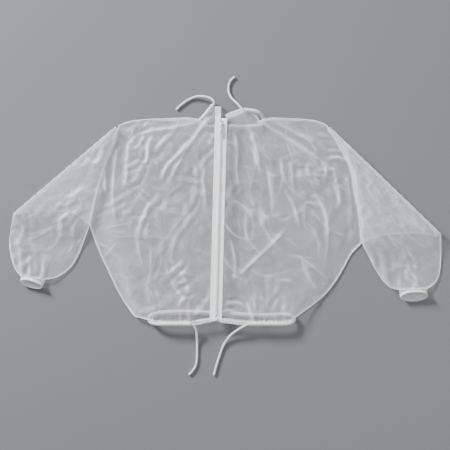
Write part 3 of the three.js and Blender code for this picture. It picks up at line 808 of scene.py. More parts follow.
        draw = np.random.default_rng(seed)
        plan = self.cut[:, :2]
        start, calm, sway = np.zeros(count), np.zeros(count), np.zeros(count)
        for _ in range(48):
            heading, length = draw.uniform(0, math.pi), scale * draw.uniform(0.7, 2.4)
            along = plan @ (math.cos(heading), math.sin(heading))
            start += length * np.sin(2 * math.pi * along / length + draw.uniform(0, 6.28))
            calm += np.sin(2 * math.pi * along / (6 * length) + draw.uniform(0, 6.28))
            sway += np.sin(2 * math.pi * along / (4 * length) + draw.uniform(0, 6.28))
        self.points[:, 2] += 0.7 * MM * start / start.std() * ramp(self.rim, 0, 20 * MM)
        flat = np.column_stack([plan, self.level])
        away, back = plan - np.array(source[:2]), np.array(sink[:2]) - plan
        spread = away / ((away**2).sum(1) + 0.001)[:, None] + back / ((back**2).sum(1) + 0.001)[:, None]
        run = np.arctan2(spread[:, 1], spread[:, 0]) + 0.55 * sway / sway.std()
        edge = flat[other] - flat[one]
        turn = np.arctan2(edge[:, 1], edge[:, 0]) - run[one]
        slack = extra * np.clip(1 + 0.5 * calm / calm.std(), 0.2, 2)[one] * (0.1 + 0.9 * np.sin(turn) ** 2)
        rest = np.linalg.norm(edge, axis=1) * (1 + slack)
        free = self.rim > ON_RIM
        for i in range(passes):
            gap = self.points[other] - self.points[one]
            length = np.maximum(np.linalg.norm(gap, axis=1), 1e-9)
            move = gap * (0.5 * (1 - rest / length))[:, None]
            self.points[free] += 1.5 * gathered(move, -move)[free]
            stiff = 0.3 * (1 - i / passes) + 0.03
            self.points[free] -= stiff * bend(bend(self.points))[free]
            self.limit(low, high)

    def gather(self, line, pitch, depth, reach, seed=3, edge=0.0):
        """Pleats that run away from a drawn-up line and die out over the reach."""
        line = smooth_line(line, 4 * MM)
        distance, along, past = nearest_on(line, self.cut[:, :2])
        draw = np.random.default_rng(seed)
        stations = np.linspace(0, line_length(line), 24)
        wander = np.interp(along, stations, draw.normal(0, 0.8, 24))
        wave = np.sin(2 * math.pi * along / pitch + wander)
        wave += 0.5 * np.sin(2 * math.pi * along / (pitch * 0.43) + 2 * wander)
        fade = np.exp(-np.abs(distance) / reach) * np.exp(-(past / reach) ** 2)
        fade = fade * (ramp(self.rim, 0, edge) if edge else 1)
        self.points[:, 2] += depth * wave * fade
        self.fold += 0.25 * fade * np.abs(wave)

    def limit(self, low, high):
        """Keeps the netting between two heights, measured from its own smooth level."""
        room = ramp(self.rim, 0, 12 * MM)
        lowest = self.level + np.minimum(low, -0.3 * MM) * (0.15 + 0.85 * room)
        highest = self.level + high * (0.15 + 0.85 * room)
        self.points[:, 2] = np.maximum(np.clip(self.points[:, 2], lowest, highest), LOWEST)

    def steepness(self):
        """How far the netting stands up at each point, where its threads lie closer as seen from above."""
        faces = np.array(self.faces)
        corners = self.points[faces]
        normal = np.cross(corners[:, 1] - corners[:, 0], corners[:, 2] - corners[:, 0])
        level = np.abs(normal[:, 2]) / np.maximum(np.linalg.norm(normal, axis=1), 1e-12)
        total = np.bincount(faces.ravel(), np.repeat(1 - level, 3), len(self.points))
        return total / np.maximum(np.bincount(faces.ravel(), minlength=len(self.points)), 1)

    def build(self, name, body, held, rests_on=()):
        self.fold += STEEP_FOLD * self.steepness()
        values = {"cut": self.cut, "rim": self.rim, "arc": self.arc, "fold": np.clip(self.fold, 0, 1)}
        thing = make_object(name, self.points, self.faces, netting(), **values)
        ride(thing, body, "netting", self.node)
        return thing

    def edge_line(self):
        """The outline as it lies after the creases."""
        order = np.argsort(self.rim)[:len(self.outline)]
        order = order[np.argsort(self.arc[order])]
        return self.points[order]


def stitch_row(route, pitch, radius=0.28 * MM, sides=6):
    """One mesh of short raised stitches along a route."""
    arcs = arc_lengths(route)
    parts = []
    starts = np.arange(pitch * 0.3, arcs[-1] - pitch * 0.8, pitch)
    profile = [(0.0, 0.15), (0.15, 0.8), (0.5, 1.0), (0.85, 0.8), (1.0, 0.15)]
    for start in starts:
        at = start + np.array([p[0] for p in profile]) * pitch * 0.72
        path = np.stack([np.interp(at, arcs, route[:, k]) for k in range(3)], 1)
        path[:, 2] += np.array([-0.25, 0.3, 0.6, 0.3, -0.25]) * radius
        parts.append(sweep(path, lambda i: oval(radius * profile[i][1], radius * profile[i][1], sides)))
    return join_meshes(parts)


def overlock(name, route, body, radius=1.1 * MM, closed=False):
    """A rolled, overlocked seam along a route, with its thread wound round it."""
    path = smooth_line(route, 1.6 * MM)

    def section(i):
        swell = 1 + 0.16 * math.sin(i * 1.9) + 0.05 * math.sin(i * 0.37)
        return oval(radius * 1.25 * swell, radius * 0.75 * swell, 8)

    vertices, faces, cut = sweep(path, section, up=(0, 0, 1), closed=closed)
    cut[:, 1] *= 2 * math.pi * radius
    thing = make_object(name, vertices, faces, thread_finish(), cut=cut)
    return ride(thing, body, "casing")


# ---- Stage ----
CAMERA_MIDDLE = Vector((-2.65 * MM, -27.8 * MM, 12 * MM))
VIEW_WIDTH = 1192.5 * MM
LENS, SENSOR = 85, 36
LIGHTS = {  # place in metres, width across in metres, watts
    "key": ((-3.7, 3.5, 2.3), 1.3, 860),
    "fill": ((1.9, -0.6, 1.7), 1.6, 16),
    "top": ((0.2, 0.2, 3.4), 2.2, 20),
}
SKY_TINT = (0.86, 0.9, 1.0, 1)
SKY_STRENGTH = 0.46
FLOOR_REACH = 6


class JACKET_OT_stage(bpy.types.Operator):
    """Make the pale floor, the soft lights and the camera straight above the jacket"""

    bl_idname = "jacket.stage"
    bl_label = "Stage"

    def execute(self, context):
        camera = bpy.data.objects.new("camera", bpy.data.cameras.new("camera"))
        camera.data.lens = LENS
        camera.data.sensor_width = SENSOR
        distance = VIEW_WIDTH * camera.data.lens / camera.data.sensor_width
        camera.location = CAMERA_MIDDLE + Vector((0, 0, distance))
        context.scene.collection.objects.link(camera)
        context.scene.camera = camera
        self.make_floor()
        for name, (place, size, power) in LIGHTS.items():
            self.make_light(name, place, size, power)
        world = context.scene.world or bpy.data.worlds.new("world")
        context.scene.world = world
        world.use_nodes = True
        background = world.node_tree.nodes["Background"]
        background.inputs["Color"].default_value = SKY_TINT
        background.inputs["Strength"].default_value = SKY_STRENGTH
        return {"FINISHED"}

    def make_floor(self):
        finish = Finish("floor", colours().floor, 0.7)
        wear = finish.place(wear_group, finish.position(), Strength=0.1)
        finish.shaded(wear["Shade"], 0.8)
        corners = [(x * FLOOR_REACH, y * FLOOR_REACH, 0) for x, y in ((-1, -1), (1, -1), (1, 1), (-1, 1))]
        make_object("floor", corners, [(0, 1, 2, 3)], finish.material, smooth=False)

    def make_light(self, name, place, size, power):
        lamp = bpy.data.lights.new(name, "AREA")
        lamp.shape = "DISK"
        lamp.size = size
        lamp.energy = power
        light = bpy.data.objects.new(name, lamp)
        light.location = place
        light.rotation_mode = "QUATERNION"
        light.rotation_quaternion = (-Vector(place)).to_track_quat("-Z", "Y")
        bpy.context.scene.collection.objects.link(light)


# ---- Cords and their casings ----
BRAID_PITCH = 9 * MM  # length of cord for one turn of a strand


def braided_cord(name, route, step, seal_start=False, seal_end=False):
    """A round cord with a crossed braid standing out of its surface, and heat-sealed tips."""
    path = smooth_line(in_metres(route), step)
    radius = sizes().cord_diameter / 2
    around = 20
    angle = np.arange(around) * 2 * math.pi / around
    arcs = arc_lengths(path)
    total = arcs[-1]

    def section(i):
        turn = arcs[i] / BRAID_PITCH * 2 * math.pi
        weave = np.maximum(np.sin(5 * angle + turn), np.sin(5 * angle - turn))
        size = radius * (0.955 + 0.045 * weave)
        for sealed, gap in ((seal_start, arcs[i]), (seal_end, total - arcs[i])):
            if sealed and gap < 0.8 * radius:
                size = size * math.sqrt(max(0.06, 1 - (1 - gap / (0.8 * radius)) ** 2))
        return np.stack([size * np.cos(angle), size * np.sin(angle)], 1)

    vertices, faces, cut = sweep(path, section)
    cut[:, 1] *= 2 * math.pi * radius
    return make_object(name, vertices, faces, cord_weave(), cut=cut), path


class JACKET_OT_cord_ends(bpy.types.Operator):
    """Make the four free ends of the two drawcords, lying where they fall"""

    bl_idname = "jacket.cord_ends"
    bl_label = "Free cord ends"

    def execute(self, context):
        for name, route in TAILS.items():
            end, path = braided_cord(name + "_braid", route, 0.75 * MM, seal_end=True)
            ride(end, "jacket", "drawcord", name)
        return {"FINISHED"}


class JACKET_OT_drawcords(bpy.types.Operator):
    """Make the part of each drawcord that runs inside its casing"""

    bl_idname = "jacket.drawcords"
    bl_label = "Drawcords"

    def execute(self, context):
        for place, route in HELD.items():
            cord, _ = braided_cord(place + "_drawcord_braid", route, 1.5 * MM)
            ride(cord, "jacket", "drawcord", place + "_drawcord")
        return {"FINISHED"}


def casing_tube(name, route, flat=0.0, pleat=5.2 * MM):
    """A casing of turned-over netting, drawn up in pleats round its cord, or flat where it is empty."""
    path = smooth_line(in_metres(route), 1.1 * MM)
    radius = sizes().casing_radius
    around = 22
    angle = np.arange(around) * 2 * math.pi / around
    arcs = arc_lengths(path)
    draw = np.random.default_rng(len(route) + sizes().seed)
    wander = np.interp(arcs, np.linspace(0, arcs[-1], 30), draw.normal(0, 0.9, 30))
    wide, tall = (1.0, 1.0) if not flat else (1.15, flat)

    def section(i):
        phase = 2 * math.pi * arcs[i] / pleat + wander[i]
        pucker = 0.07 * np.sin(phase + 0.6 * np.sin(angle)) + 0.04 * np.sin(2.3 * phase + 3 * angle)
        size = radius * (1 + pucker)
        return np.stack([wide * size * np.cos(angle), tall * size * np.sin(angle)], 1)

    vertices, faces, cut = sweep(path, section, up=(0, 0, 1) if flat else None, capped=False)
    phase = np.repeat(np.sin(2 * math.pi * arcs / pleat + wander), around)
    cut[:, 1] *= 2 * math.pi * radius
    values = {"cut": cut, "fold": np.clip(0.35 + 0.45 * phase, 0, 1), "rim": np.full(len(vertices), 0.05)}
    return make_object(name, vertices, faces, gathered_netting(), **values), path


class JACKET_OT_casings(bpy.types.Operator):
    """Make the collar and hem casings, with their stitching"""

    bl_idname = "jacket.casings"
    bl_label = "Casings"

    def execute(self, context):
        for place, route in HELD.items():
            tube, path = casing_tube(place + "_casing_cloth", route)
            parts = [f"{place}_casing_{part}" for part in ("right", "back", "left")]
            ride(tube, "jacket", "casing", *parts)
            self.mouths(place, path)
        for name, route in EMPTY_CASINGS.items():
            tube, _ = casing_tube(name, route, flat=0.22, pleat=8 * MM)
            ride(tube, "jacket", "casing")
        return {"FINISHED"}

    def mouths(self, place, path):
        """A bound ring round each mouth of a casing."""
        for side, at in (("right", path[:3]), ("left", path[::-1][:3])):
            run = (at[2] - at[0]) / np.linalg.norm(at[2] - at[0])
            across = np.cross(run, (0, 0, 1))
            across /= np.linalg.norm(across)
            lift = np.cross(across, run)
            turn = np.linspace(0, 2 * math.pi, 40, endpoint=False)[:, None]
            radius = sizes().casing_radius * 1.03
            ring = at[0] + run * 0.8 * MM + radius * (np.cos(turn) * across + np.sin(turn) * lift)
            overlock(f"{place}_casing_mouth_{side}", np.vstack([ring, ring[:1]]), "jacket", 0.75 * MM)


# ---- Body ----
def front_folds(panel, node, side):
    for route, width, height, tuck in FOLDS[node]:
        panel.crease(in_metres(route), width * MM, height * MM, tuck * MM)
    seed = sizes().seed + (1 if side > 0 else 2)
    panel.ruffle(seed, 34, 150 * MM, 5 * MM, 3.2 * MM, lean=-side * 0.9, spread=0.45)
    panel.ruffle(seed + 10, 60, 60 * MM, 4 * MM, 2.2 * MM)


class JACKET_OT_body(bpy.types.Operator):
    """Make the back and the two fronts, creased and gathered to their drawn-up edges"""

    bl_idname = "jacket.body"
    bl_label = "Back and fronts"

    def execute(self, context):
        hem, neck = in_metres(HELD["hem"])[:, :2], in_metres(HELD["neck"])[:, :2]
        back = Panel("back_panel", 1.25 * sizes().panel_step)
        back.ruffle(sizes().seed, 70, 120 * MM, 6 * MM, 3 * MM)
        back.ruffle(sizes().seed + 20, 60, 60 * MM, 5 * MM, 2 * MM)
        back.gather(hem[7:16], 11 * MM, 2.5 * MM, 45 * MM)
        back.gather(neck[4:9], 10 * MM, 2.5 * MM, 45 * MM)
        back.slacken(BODY_SLACK["back"], -0.4 * MM, 5.5 * MM, sizes().seed + 62, neck[6], hem[10])
        back.build("back_netting", "jacket", "laid")
        overlock("back_seam", back.edge_line(), "jacket", closed=True)
        for name, side in SIDES.items():
            node = name + "_front_panel"
            panel = Panel(node, sizes().panel_step)
            front_folds(panel, node, side)
            panel.gather(hem[:7] if side < 0 else hem[-6:], 10 * MM, 3 * MM, 42 * MM)
            panel.gather(neck[:4] if side < 0 else neck[-5:], 9 * MM, 3 * MM, 50 * MM)
            ends = (neck[1], hem[1]) if side < 0 else (neck[-2], hem[-2])
            seed = sizes().seed + (60 if side > 0 else 61)
            panel.slacken(BODY_SLACK["front"], -7 * MM, 8 * MM, seed, *ends)
            panel.build(name + "_front_netting", "jacket", "laid", rests_on=["back_netting"])
            overlock(name + "_front_seam", panel.edge_line(), "jacket", closed=True)
        return {"FINISHED"}


# ---- Sleeves ----
def fold_axis(name):
    """The shoulder end of a sleeve's fold, the direction to the elbow, and the direction to the body."""
    joint = JOINTS[name + "_sleeve_fold"]
    start = np.array(joint["pos_m"], float)
    run = np.array(joint["axis"], float)
    run /= np.linalg.norm(run)
    if run[0] * SIDES[name] < 0:
        run = -run
    inwards = np.array([run[1], -run[0], 0.0]) * SIDES[name]
    return start, run, inwards


def edge_heights(panel, start, run, inwards, at):
    """Height of a panel's edge beside the fold, at distances along it."""
    offset = panel.points - start
    near = (panel.rim < ON_RIM) & (np.abs(offset @ inwards) < 2.2 * MM)
    along = (offset @ run)[near]
    order = np.argsort(along)
    return np.interp(at, along[order], panel.points[near, 2][order])


def fold_strip(name, part, low_panel, high_panel, bulge):
    """The netting that turns round a sleeve's fold, from an upper sleeve's layer to a forearm's."""
    start, run, inwards = fold_axis(name)
    reach = [((panel.points - start) @ run)[np.abs((panel.points - start) @ inwards) < 2 * MM]
             for panel in (low_panel, high_panel)]
    at = np.arange(max(r.min() for r in reach), min(r.max() for r in reach), 3 * MM)
    low = edge_heights(low_panel, start, run, inwards, at)
    high = edge_heights(high_panel, start, run, inwards, at)
    count = 9
    vertices, cut = [], []
    for i, along in enumerate(at):
        wave = 1 + 0.25 * math.sin(along * 260) + 0.15 * math.sin(along * 611)
        for k in range(count):
            turn = math.pi * k / (count - 1)
            share = (1 - math.cos(turn)) / 2
            place = start + run * along + inwards * (1.0 * MM - bulge * wave * math.sin(turn))
            vertices.append((place[0], place[1], low[i] + (high[i] - low[i]) * share))
            cut.append((along, share * (high[i] - low[i]) * 1.3, 0))
    faces = [(a, a + 1, a + 1 + count, a + count)
             for i in range(len(at) - 1) for a in range(i * count, (i + 1) * count - 1)]
    values = {"cut": cut, "rim": np.full(len(cut), 0.05), "fold": np.full(len(cut), 0.4)}
    strip = make_object(f"{name}_sleeve_turn_{part}", vertices, faces, netting(), **values)
    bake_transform(strip)


SLEEVE_ROOM = {  # how far each layer of a sleeve may fall and rise from its level, in mm
    "sleeve_upper_back": (-0.4, 4),
    "sleeve_upper_front": (-4, 0.4),
    "forearm_front": (-0.4, 4),
    "forearm_back": (-3, 7),
}
CLOSER_UPPER = 0.22  # the upper sleeve's threads lie closer


class JACKET_OT_sleeves(bpy.types.Operator):
    """Make both sleeves, folded down over themselves from the shoulder to the elbow"""

    bl_idname = "jacket.sleeves"
    bl_label = "Sleeves"

    def execute(self, context):
        for name, side in SIDES.items():
            layers = {}
            step = 1.1 * sizes().panel_step
            for order, node in enumerate(SLEEVE_ROOM):
                panel = Panel(f"{name}_{node}", step)
                lean = math.atan2(*fold_axis(name)[1][1::-1])
                seed = sizes().seed + 40 + order + (10 if side > 0 else 0)
                panel.ruffle(seed, 26, 130 * MM, 6 * MM, 2 * MM, lean=lean, spread=0.35, edge=9 * MM)
                panel.ruffle(seed + 7, 34, 60 * MM, 4.5 * MM, 1.6 * MM, edge=9 * MM)
                layers[node] = panel
            self.draw_cuff(name, side, layers)
            for order, (node, (low, high)) in enumerate(SLEEVE_ROOM.items()):
                cuff = sum(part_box(name + "_cuff_elastic"), Vector()) / 2
                start, run, _ = fold_axis(name)
                sink = start + 0.33 * run if "upper" in node else cuff
                seed = sizes().seed + 70 + order
                layers[node].slacken(SLEEVE_SLACK, low * MM, high * MM, seed, start, sink)
                if "upper" in node:
                    layers[node].fold += CLOSER_UPPER
            for node, panel in layers.items():
                body = "jacket" if "upper" in node else name + "_forearm"
                panel.build(f"{name}_{node}_netting", body, "folded")
                if node in ("sleeve_upper_back", "forearm_back"):
                    overlock(f"{name}_{node}_seam", panel.edge_line(), body, 0.8 * MM, closed=True)
            fold_strip(name, "outer", layers["sleeve_upper_back"], layers["forearm_back"], 4 * MM)
            fold_strip(name, "inner", layers["sleeve_upper_front"], layers["forearm_front"], 1.5 * MM)
        return {"FINISHED"}

    def draw_cuff(self, name, side, layers):
        low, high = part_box(name + "_cuff_elastic")
        y = high.y - 3 * MM
        line = [(low.x, y), ((low.x + high.x) / 2, y), (high.x, y)]
        for node, depth in (("forearm_front", 1.5), ("forearm_back", 4.5)):
            layers[node].gather(line, 8.5 * MM, depth * MM, 34 * MM, seed=5)


# ---- Cuffs ----
def cuff_frame(name):
    """Middle, mouth direction, width and height of a cuff, from its CAD solid."""
    mesh = frame["nodes"][name + "_cuff_elastic"].data
    points = np.array([v.co for v in mesh.vertices], float)
    normals = np.array([p.normal for p in mesh.polygons], float)
    areas = np.array([p.area for p in mesh.polygons])
    share = (np.abs(normals @ normals.T) > 0.999) @ areas
    mouth = normals[share.argmax()]
    mouth = mouth * np.sign(-mouth[1])
    across = np.cross(mouth, (0, 0, 1))
    across /= np.linalg.norm(across)
    lift = np.cross(across, mouth)
    lift *= np.sign(lift[2])
    spans = [points @ axis for axis in (across, lift, mouth)]
    middle = sum((span.max() + span.min()) / 2 * axis for span, axis in zip(spans, (across, lift, mouth)))
    return middle, mouth, across, lift, *[span.max() - span.min() for span in spans]


class JACKET_OT_cuffs(bpy.types.Operator):
    """Make the gathered elastic band round each cuff"""

    bl_idname = "jacket.cuffs"
    bl_label = "Cuff elastics"

    def execute(self, context):
        for name in SIDES:
            middle, mouth, across, lift, width, height, band = cuff_frame(name)
            turn = np.linspace(0, 2 * math.pi, 260, endpoint=False)
            inset = 0.9 * MM
            reach, rise = across * (width / 2 - inset), lift * (height / 2 - inset)
            path = [middle + reach * math.cos(a) + rise * math.sin(a) for a in turn]
            outwards = [across * math.cos(a) * height + lift * math.sin(a) * width for a in turn]
            rows = np.linspace(-0.5, 0.5, 13)
            vertices, cut = [], []
            for i, place in enumerate(path):
                out = outwards[i] / np.linalg.norm(outwards[i])
                pucker = 0.3 * MM * math.sin(turn[i] * 38) + 0.12 * MM * math.sin(turn[i] * 91)
                ring = []
                for face in (1, -1):
                    for row in rows[::face]:
                        rib = 0.14 * MM * math.cos(row * 2 * math.pi * 6)
                        swell = face * (0.62 * MM + rib) * math.sqrt(max(0.0, 1 - (2 * row) ** 6))
                        ring.append(place + mouth * row * band + out * (swell + pucker))
                        cut.append((row * band, i / len(turn) * (width + height) * 1.6, 0))
                vertices.extend(ring)
            around = 2 * len(rows)
            faces = []
            for i in range(len(path)):
                a, b = i * around, ((i + 1) % len(path)) * around
                faces += [(a + k, a + (k + 1) % around, b + (k + 1) % around, b + k) for k in range(around)]
            ring = make_object(name + "_cuff_band", vertices, faces, elastic_weave(), cut=cut)
            ride(ring, name + "_forearm", "elastic", name + "_cuff_elastic")
            self.frill(name, middle, mouth, across, lift, width, height, band)
        return {"FINISHED"}

    def frill(self, name, middle, mouth, across, lift, width, height, band):
        """Netting drawn up into the band, from its inner edge back to the flat end of the sleeve."""
        count, rows = 312, 9
        turn = np.arange(count) * 2 * math.pi / count
        side, rise = np.cos(turn)[:, None], np.sin(turn)[:, None]
        level = mouth * (1, 1, 0) / math.hypot(mouth[0], mouth[1])
        near = middle - mouth * (band / 2 - 1 * MM) + (width / 2 - 0.9 * MM) * side * across
        near = near + (height / 2 - 0.9 * MM) * rise * lift
        far = middle - mouth * band / 2 - level * (height / 2 * abs(mouth[2]) + 3 * MM)
        far = far * (1, 1, 0) + (0, 0, 6 * MM) + (width / 2 + 1 * MM) * side * across
        far = far + (0, 0, 4.5 * MM) * rise
        outwards = across * side * height + lift * rise * width
        outwards /= np.linalg.norm(outwards, axis=1)[:, None]
        pleat = (0.6 * np.sin(26 * turn + np.sin(3 * turn)) + 0.3 * np.sin(59 * turn))[:, None] * MM
        vertices, cut, fold = [], [], []
        for share in np.linspace(0, 1, rows):
            ring = near + (far - near) * share + outwards * pleat * (0.4 + 3 * share * (1 - share))
            ring[:, 2] = np.maximum(ring[:, 2], 0.6 * MM)
            vertices.extend(ring)
            cut.extend((a * width * 0.6, share * 18 * MM, 0) for a in turn)
            fold.extend(0.35 + 0.3 * pleat[:, 0] / MM)
        faces = []
        for a in range(0, (rows - 1) * count, count):
            b = a + count
            faces += [(a + k, a + (k + 1) % count, b + (k + 1) % count, b + k) for k in range(count)]
        values = {"cut": cut, "fold": fold, "rim": np.full(len(cut), 0.05)}
        frill = make_object(name + "_cuff_frill", vertices, faces, netting(), **values)
        ride(frill, name + "_forearm", "netting")


# ---- Zip ----
ALONG = -np.array(JOINTS["zip_slide"]["axis"], float)
ACROSS = np.array([ALONG[1], -ALONG[0], 0.0])
SLIDER_MIDDLE = np.array((sum(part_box("zip_slider"), Vector()) / 2)[:], float)
SLIDER_MIDDLE[2] = 0.0


def zip_place(across, along, up):
    """A place from distances across the chain, along it from the slider, and up from the surface."""
    return SLIDER_MIDDLE + ACROSS * across + ALONG * along + np.array([0, 0, up])


def zip_box(node):
    """Lowest and highest corners of a node across the chain, along it and up."""
    points = np.array([v.co for v in frame["nodes"][node].data.vertices], float) - SLIDER_MIDDLE
    spans = np.stack([points @ ACROSS, points @ ALONG, points[:, 2]], 1)
    return spans.min(0), spans.max(0)


class JACKET_OT_zip_tapes(bpy.types.Operator):
    """Make the two woven tapes of the zip and the rows of stitches that hold them"""

    bl_idname = "jacket.zip_tapes"
    bl_label = "Zip tapes"

    def execute(self, context):
        for name, side in SIDES.items():
            low, high = zip_box("zip_tape_" + name)
            inner, outer = (low[0], high[0]) if side > 0 else (high[0], low[0])
            rows = np.arange(low[1], high[1], 2 * MM)
            columns = 12
            vertices, cut = [], []
            for face in (1, -1):
                for row in rows:
                    for k in range(columns + 1):
                        share = k / columns
                        ripple = 0.35 * MM * math.sin(row * 90 + side) * share
                        ripple += 0.2 * MM * math.sin(row * 233) * share
                        cordage = 0.25 * MM * math.exp(-((share - 0.06) / 0.05) ** 2)
                        scallop = 0.12 * MM * math.sin(row / (1.5 * MM)) * (share == 1)
                        across = inner + (outer - inner) * share + side * scallop
                        top = high[2] + cordage if face > 0 else low[2]
                        lift = 4 * MM * float(ramp(row, high[1] - 22 * MM, high[1])) * share
                        vertices.append(zip_place(across, row, top + ripple + lift))
                        cut.append((row, share * (outer - inner), 0))
            faces = self.strip_faces(len(rows), columns, side)
            tape = make_object(f"zip_tape_{name}_woven", vertices, faces, tape_weave(), cut=cut)
            ride(tape, "jacket", "zip_tape", "zip_tape_" + name)
            self.sew(name, side, rows, high[2], abs(outer))
        return {"FINISHED"}

    def strip_faces(self, rows, columns, side):
        """Faces of a flat strip with two sides, joined all round."""
        wide = columns + 1
        under = rows * wide
        faces = []
        for r in range(rows - 1):
            for k in range(columns):
                a = r * wide + k
                faces.append((a, a + 1, a + 1 + wide, a + wide))
                faces.append((under + a, under + a + wide, under + a + 1 + wide, under + a + 1))
        rim = [r * wide + columns for r in range(rows)]
        rim += [(rows - 1) * wide + k for k in range(columns - 1, -1, -1)]
        rim += [r * wide for r in range(rows - 2, -1, -1)] + list(range(1, columns))
        for a, b in zip(rim, rim[1:] + rim[:1]):
            faces.append((a, under + a, under + b, b))
        return faces if side > 0 else [face[::-1] for face in faces]

    def sew(self, name, side, rows, top, outer):
        for order, across in enumerate((outer - 2.2 * MM, outer - 6.5 * MM)):
            sway = 0.35 * MM * (across / outer)
            route = np.array([
                zip_place(side * across, row, top + 0.12 * MM + sway * math.sin(row * 90 + side))
                for row in rows[2:-10]
            ])
            vertices, faces, cut = stitch_row(route, sizes().stitch_pitch)
            thread = make_object(f"zip_stitches_{name}_{order}", vertices, faces, thread_finish(), cut=cut)
            ride(thread, "jacket", "zip_tape")


class JACKET_OT_zip_coils(bpy.types.Operator):
    """Make the two coils, whose heads lie between each other down the chain"""

    bl_idname = "jacket.zip_coils"
    bl_label = "Zip coils"

    def execute(self, context):
        pitch = sizes().tooth_pitch
        for name, side in SIDES.items():
            low, high = zip_box("zip_coil_" + name)
            base, top = low[2], high[2]
            outer = max(abs(low[0]), abs(high[0]))
            turns = int((high[1] - low[1]) / pitch)
            profile = [(-0.55, 0.25), (-0.75, 0.5), (-0.55, 0.75), (0.6, 0.92), (2.2, 0.95), (3.1, 0.75),
                       (3.3, 0.45), (2.6, 0.12), (1.2, 0.05), (0.2, 0.1)]
            scale = outer / (3.5 * MM)
            path = []
            for turn in range(turns):
                for k, (x, z) in enumerate(profile):
                    lag = (0.0 if k < 3 else 0.5 * (k - 2) / (len(profile) - 2))
                    along = low[1] + (turn + lag + (0.5 if side > 0 else 0.0)) * pitch
                    path.append(zip_place(side * x * MM * scale, along, base + z * (top - base)))
            path = [p for p in path if (p - SLIDER_MIDDLE) @ ALONG < high[1]]
            ring = oval(0.3 * MM, 0.3 * MM, 6)
            vertices, faces, cut = sweep(path, lambda i: ring)
            coil = make_object(f"zip_coil_{name}_filament", vertices, faces, nylon(), cut=cut)
            ride(coil, "jacket", "zip_coil", "zip_coil_" + name)
        return {"FINISHED"}


def bevelled_plate(outline, low, high, bevel):
    """A prism over an outline of across and along distances from a zip part's middle, with rounded edges."""
    work = bmesh.new()
    bottom = [work.verts.new(zip_place(x, y, low)) for x, y in outline]
    face = work.faces.new(bottom)
    if face.normal.z > 0:
        face.normal_flip()
    made = bmesh.ops.extrude_face_region(work, geom=[face])
    top = [v for v in made["geom"] if isinstance(v, bmesh.types.BMVert)]
    bmesh.ops.translate(work, verts=top, vec=(0, 0, high - low))
    bmesh.ops.recalc_face_normals(work, faces=work.faces)
    sharp = [e for e in work.edges if len(e.link_faces) == 2 and e.calc_face_angle(0) > math.radians(40)]
    bmesh.ops.bevel(work, geom=sharp, offset=bevel, segments=3, affect="EDGES", clamp_overlap=True)
    work.verts.index_update()
    vertices = np.array([v.co for v in work.verts], float)
    faces = [tuple(v.index for v in f.verts) for f in work.faces]
    work.free()
    return vertices, faces, vertices.copy()


def rounded_box(low, high, bevel):
    outline = [(low[0], low[1]), (high[0], low[1]), (high[0], high[1]), (low[0], high[1])]
    return bevelled_plate(outline, low[2], high[2], bevel)


class JACKET_OT_zip_fittings(bpy.types.Operator):
    """Make the top stops, the insertion pin and the retainer box"""

    bl_idname = "jacket.zip_fittings"
    bl_label = "Zip fittings"

    def execute(self, context):
        for node in ("zip_top_stop_right", "zip_top_stop_left", "zip_pin"):
            low, high = zip_box(node)
            vertices, faces, _ = rounded_box(low, high, 0.4 * MM)
            ride(make_object(node + "_moulded", vertices, faces, nylon()), "jacket", "zip_coil", node)
        low, high = zip_box("zip_retainer_box")
        middle = (low[0] + high[0]) / 2
        shell = rounded_box((low[0], low[1], high[2] - 1.2 * MM), high, 0.5 * MM)
        under = high[2] - 1.0 * MM
        wall = rounded_box((middle - 0.4 * MM, low[1], low[2]), (high[0], high[1], under), 0.4 * MM)
        lip = rounded_box(low, (low[0] + 1.1 * MM, high[1], under), 0.3 * MM)
        ridges = [rounded_box((low[0] + 1.4 * MM, low[1] + y * MM, high[2] - 0.3 * MM),
                              (high[0] - 1.4 * MM, low[1] + (y + 0.8) * MM, high[2] + 0.25 * MM), 0.2 * MM)
                  for y in (2.2, 4.2, 6.2)]
        vertices, faces, _ = join_meshes([shell, wall, lip, *ridges])
        box = make_object("zip_retainer_box_moulded", vertices, faces, nylon())
        ride(box, "jacket", "zip_coil", "zip_retainer_box")
        return {"FINISHED"}


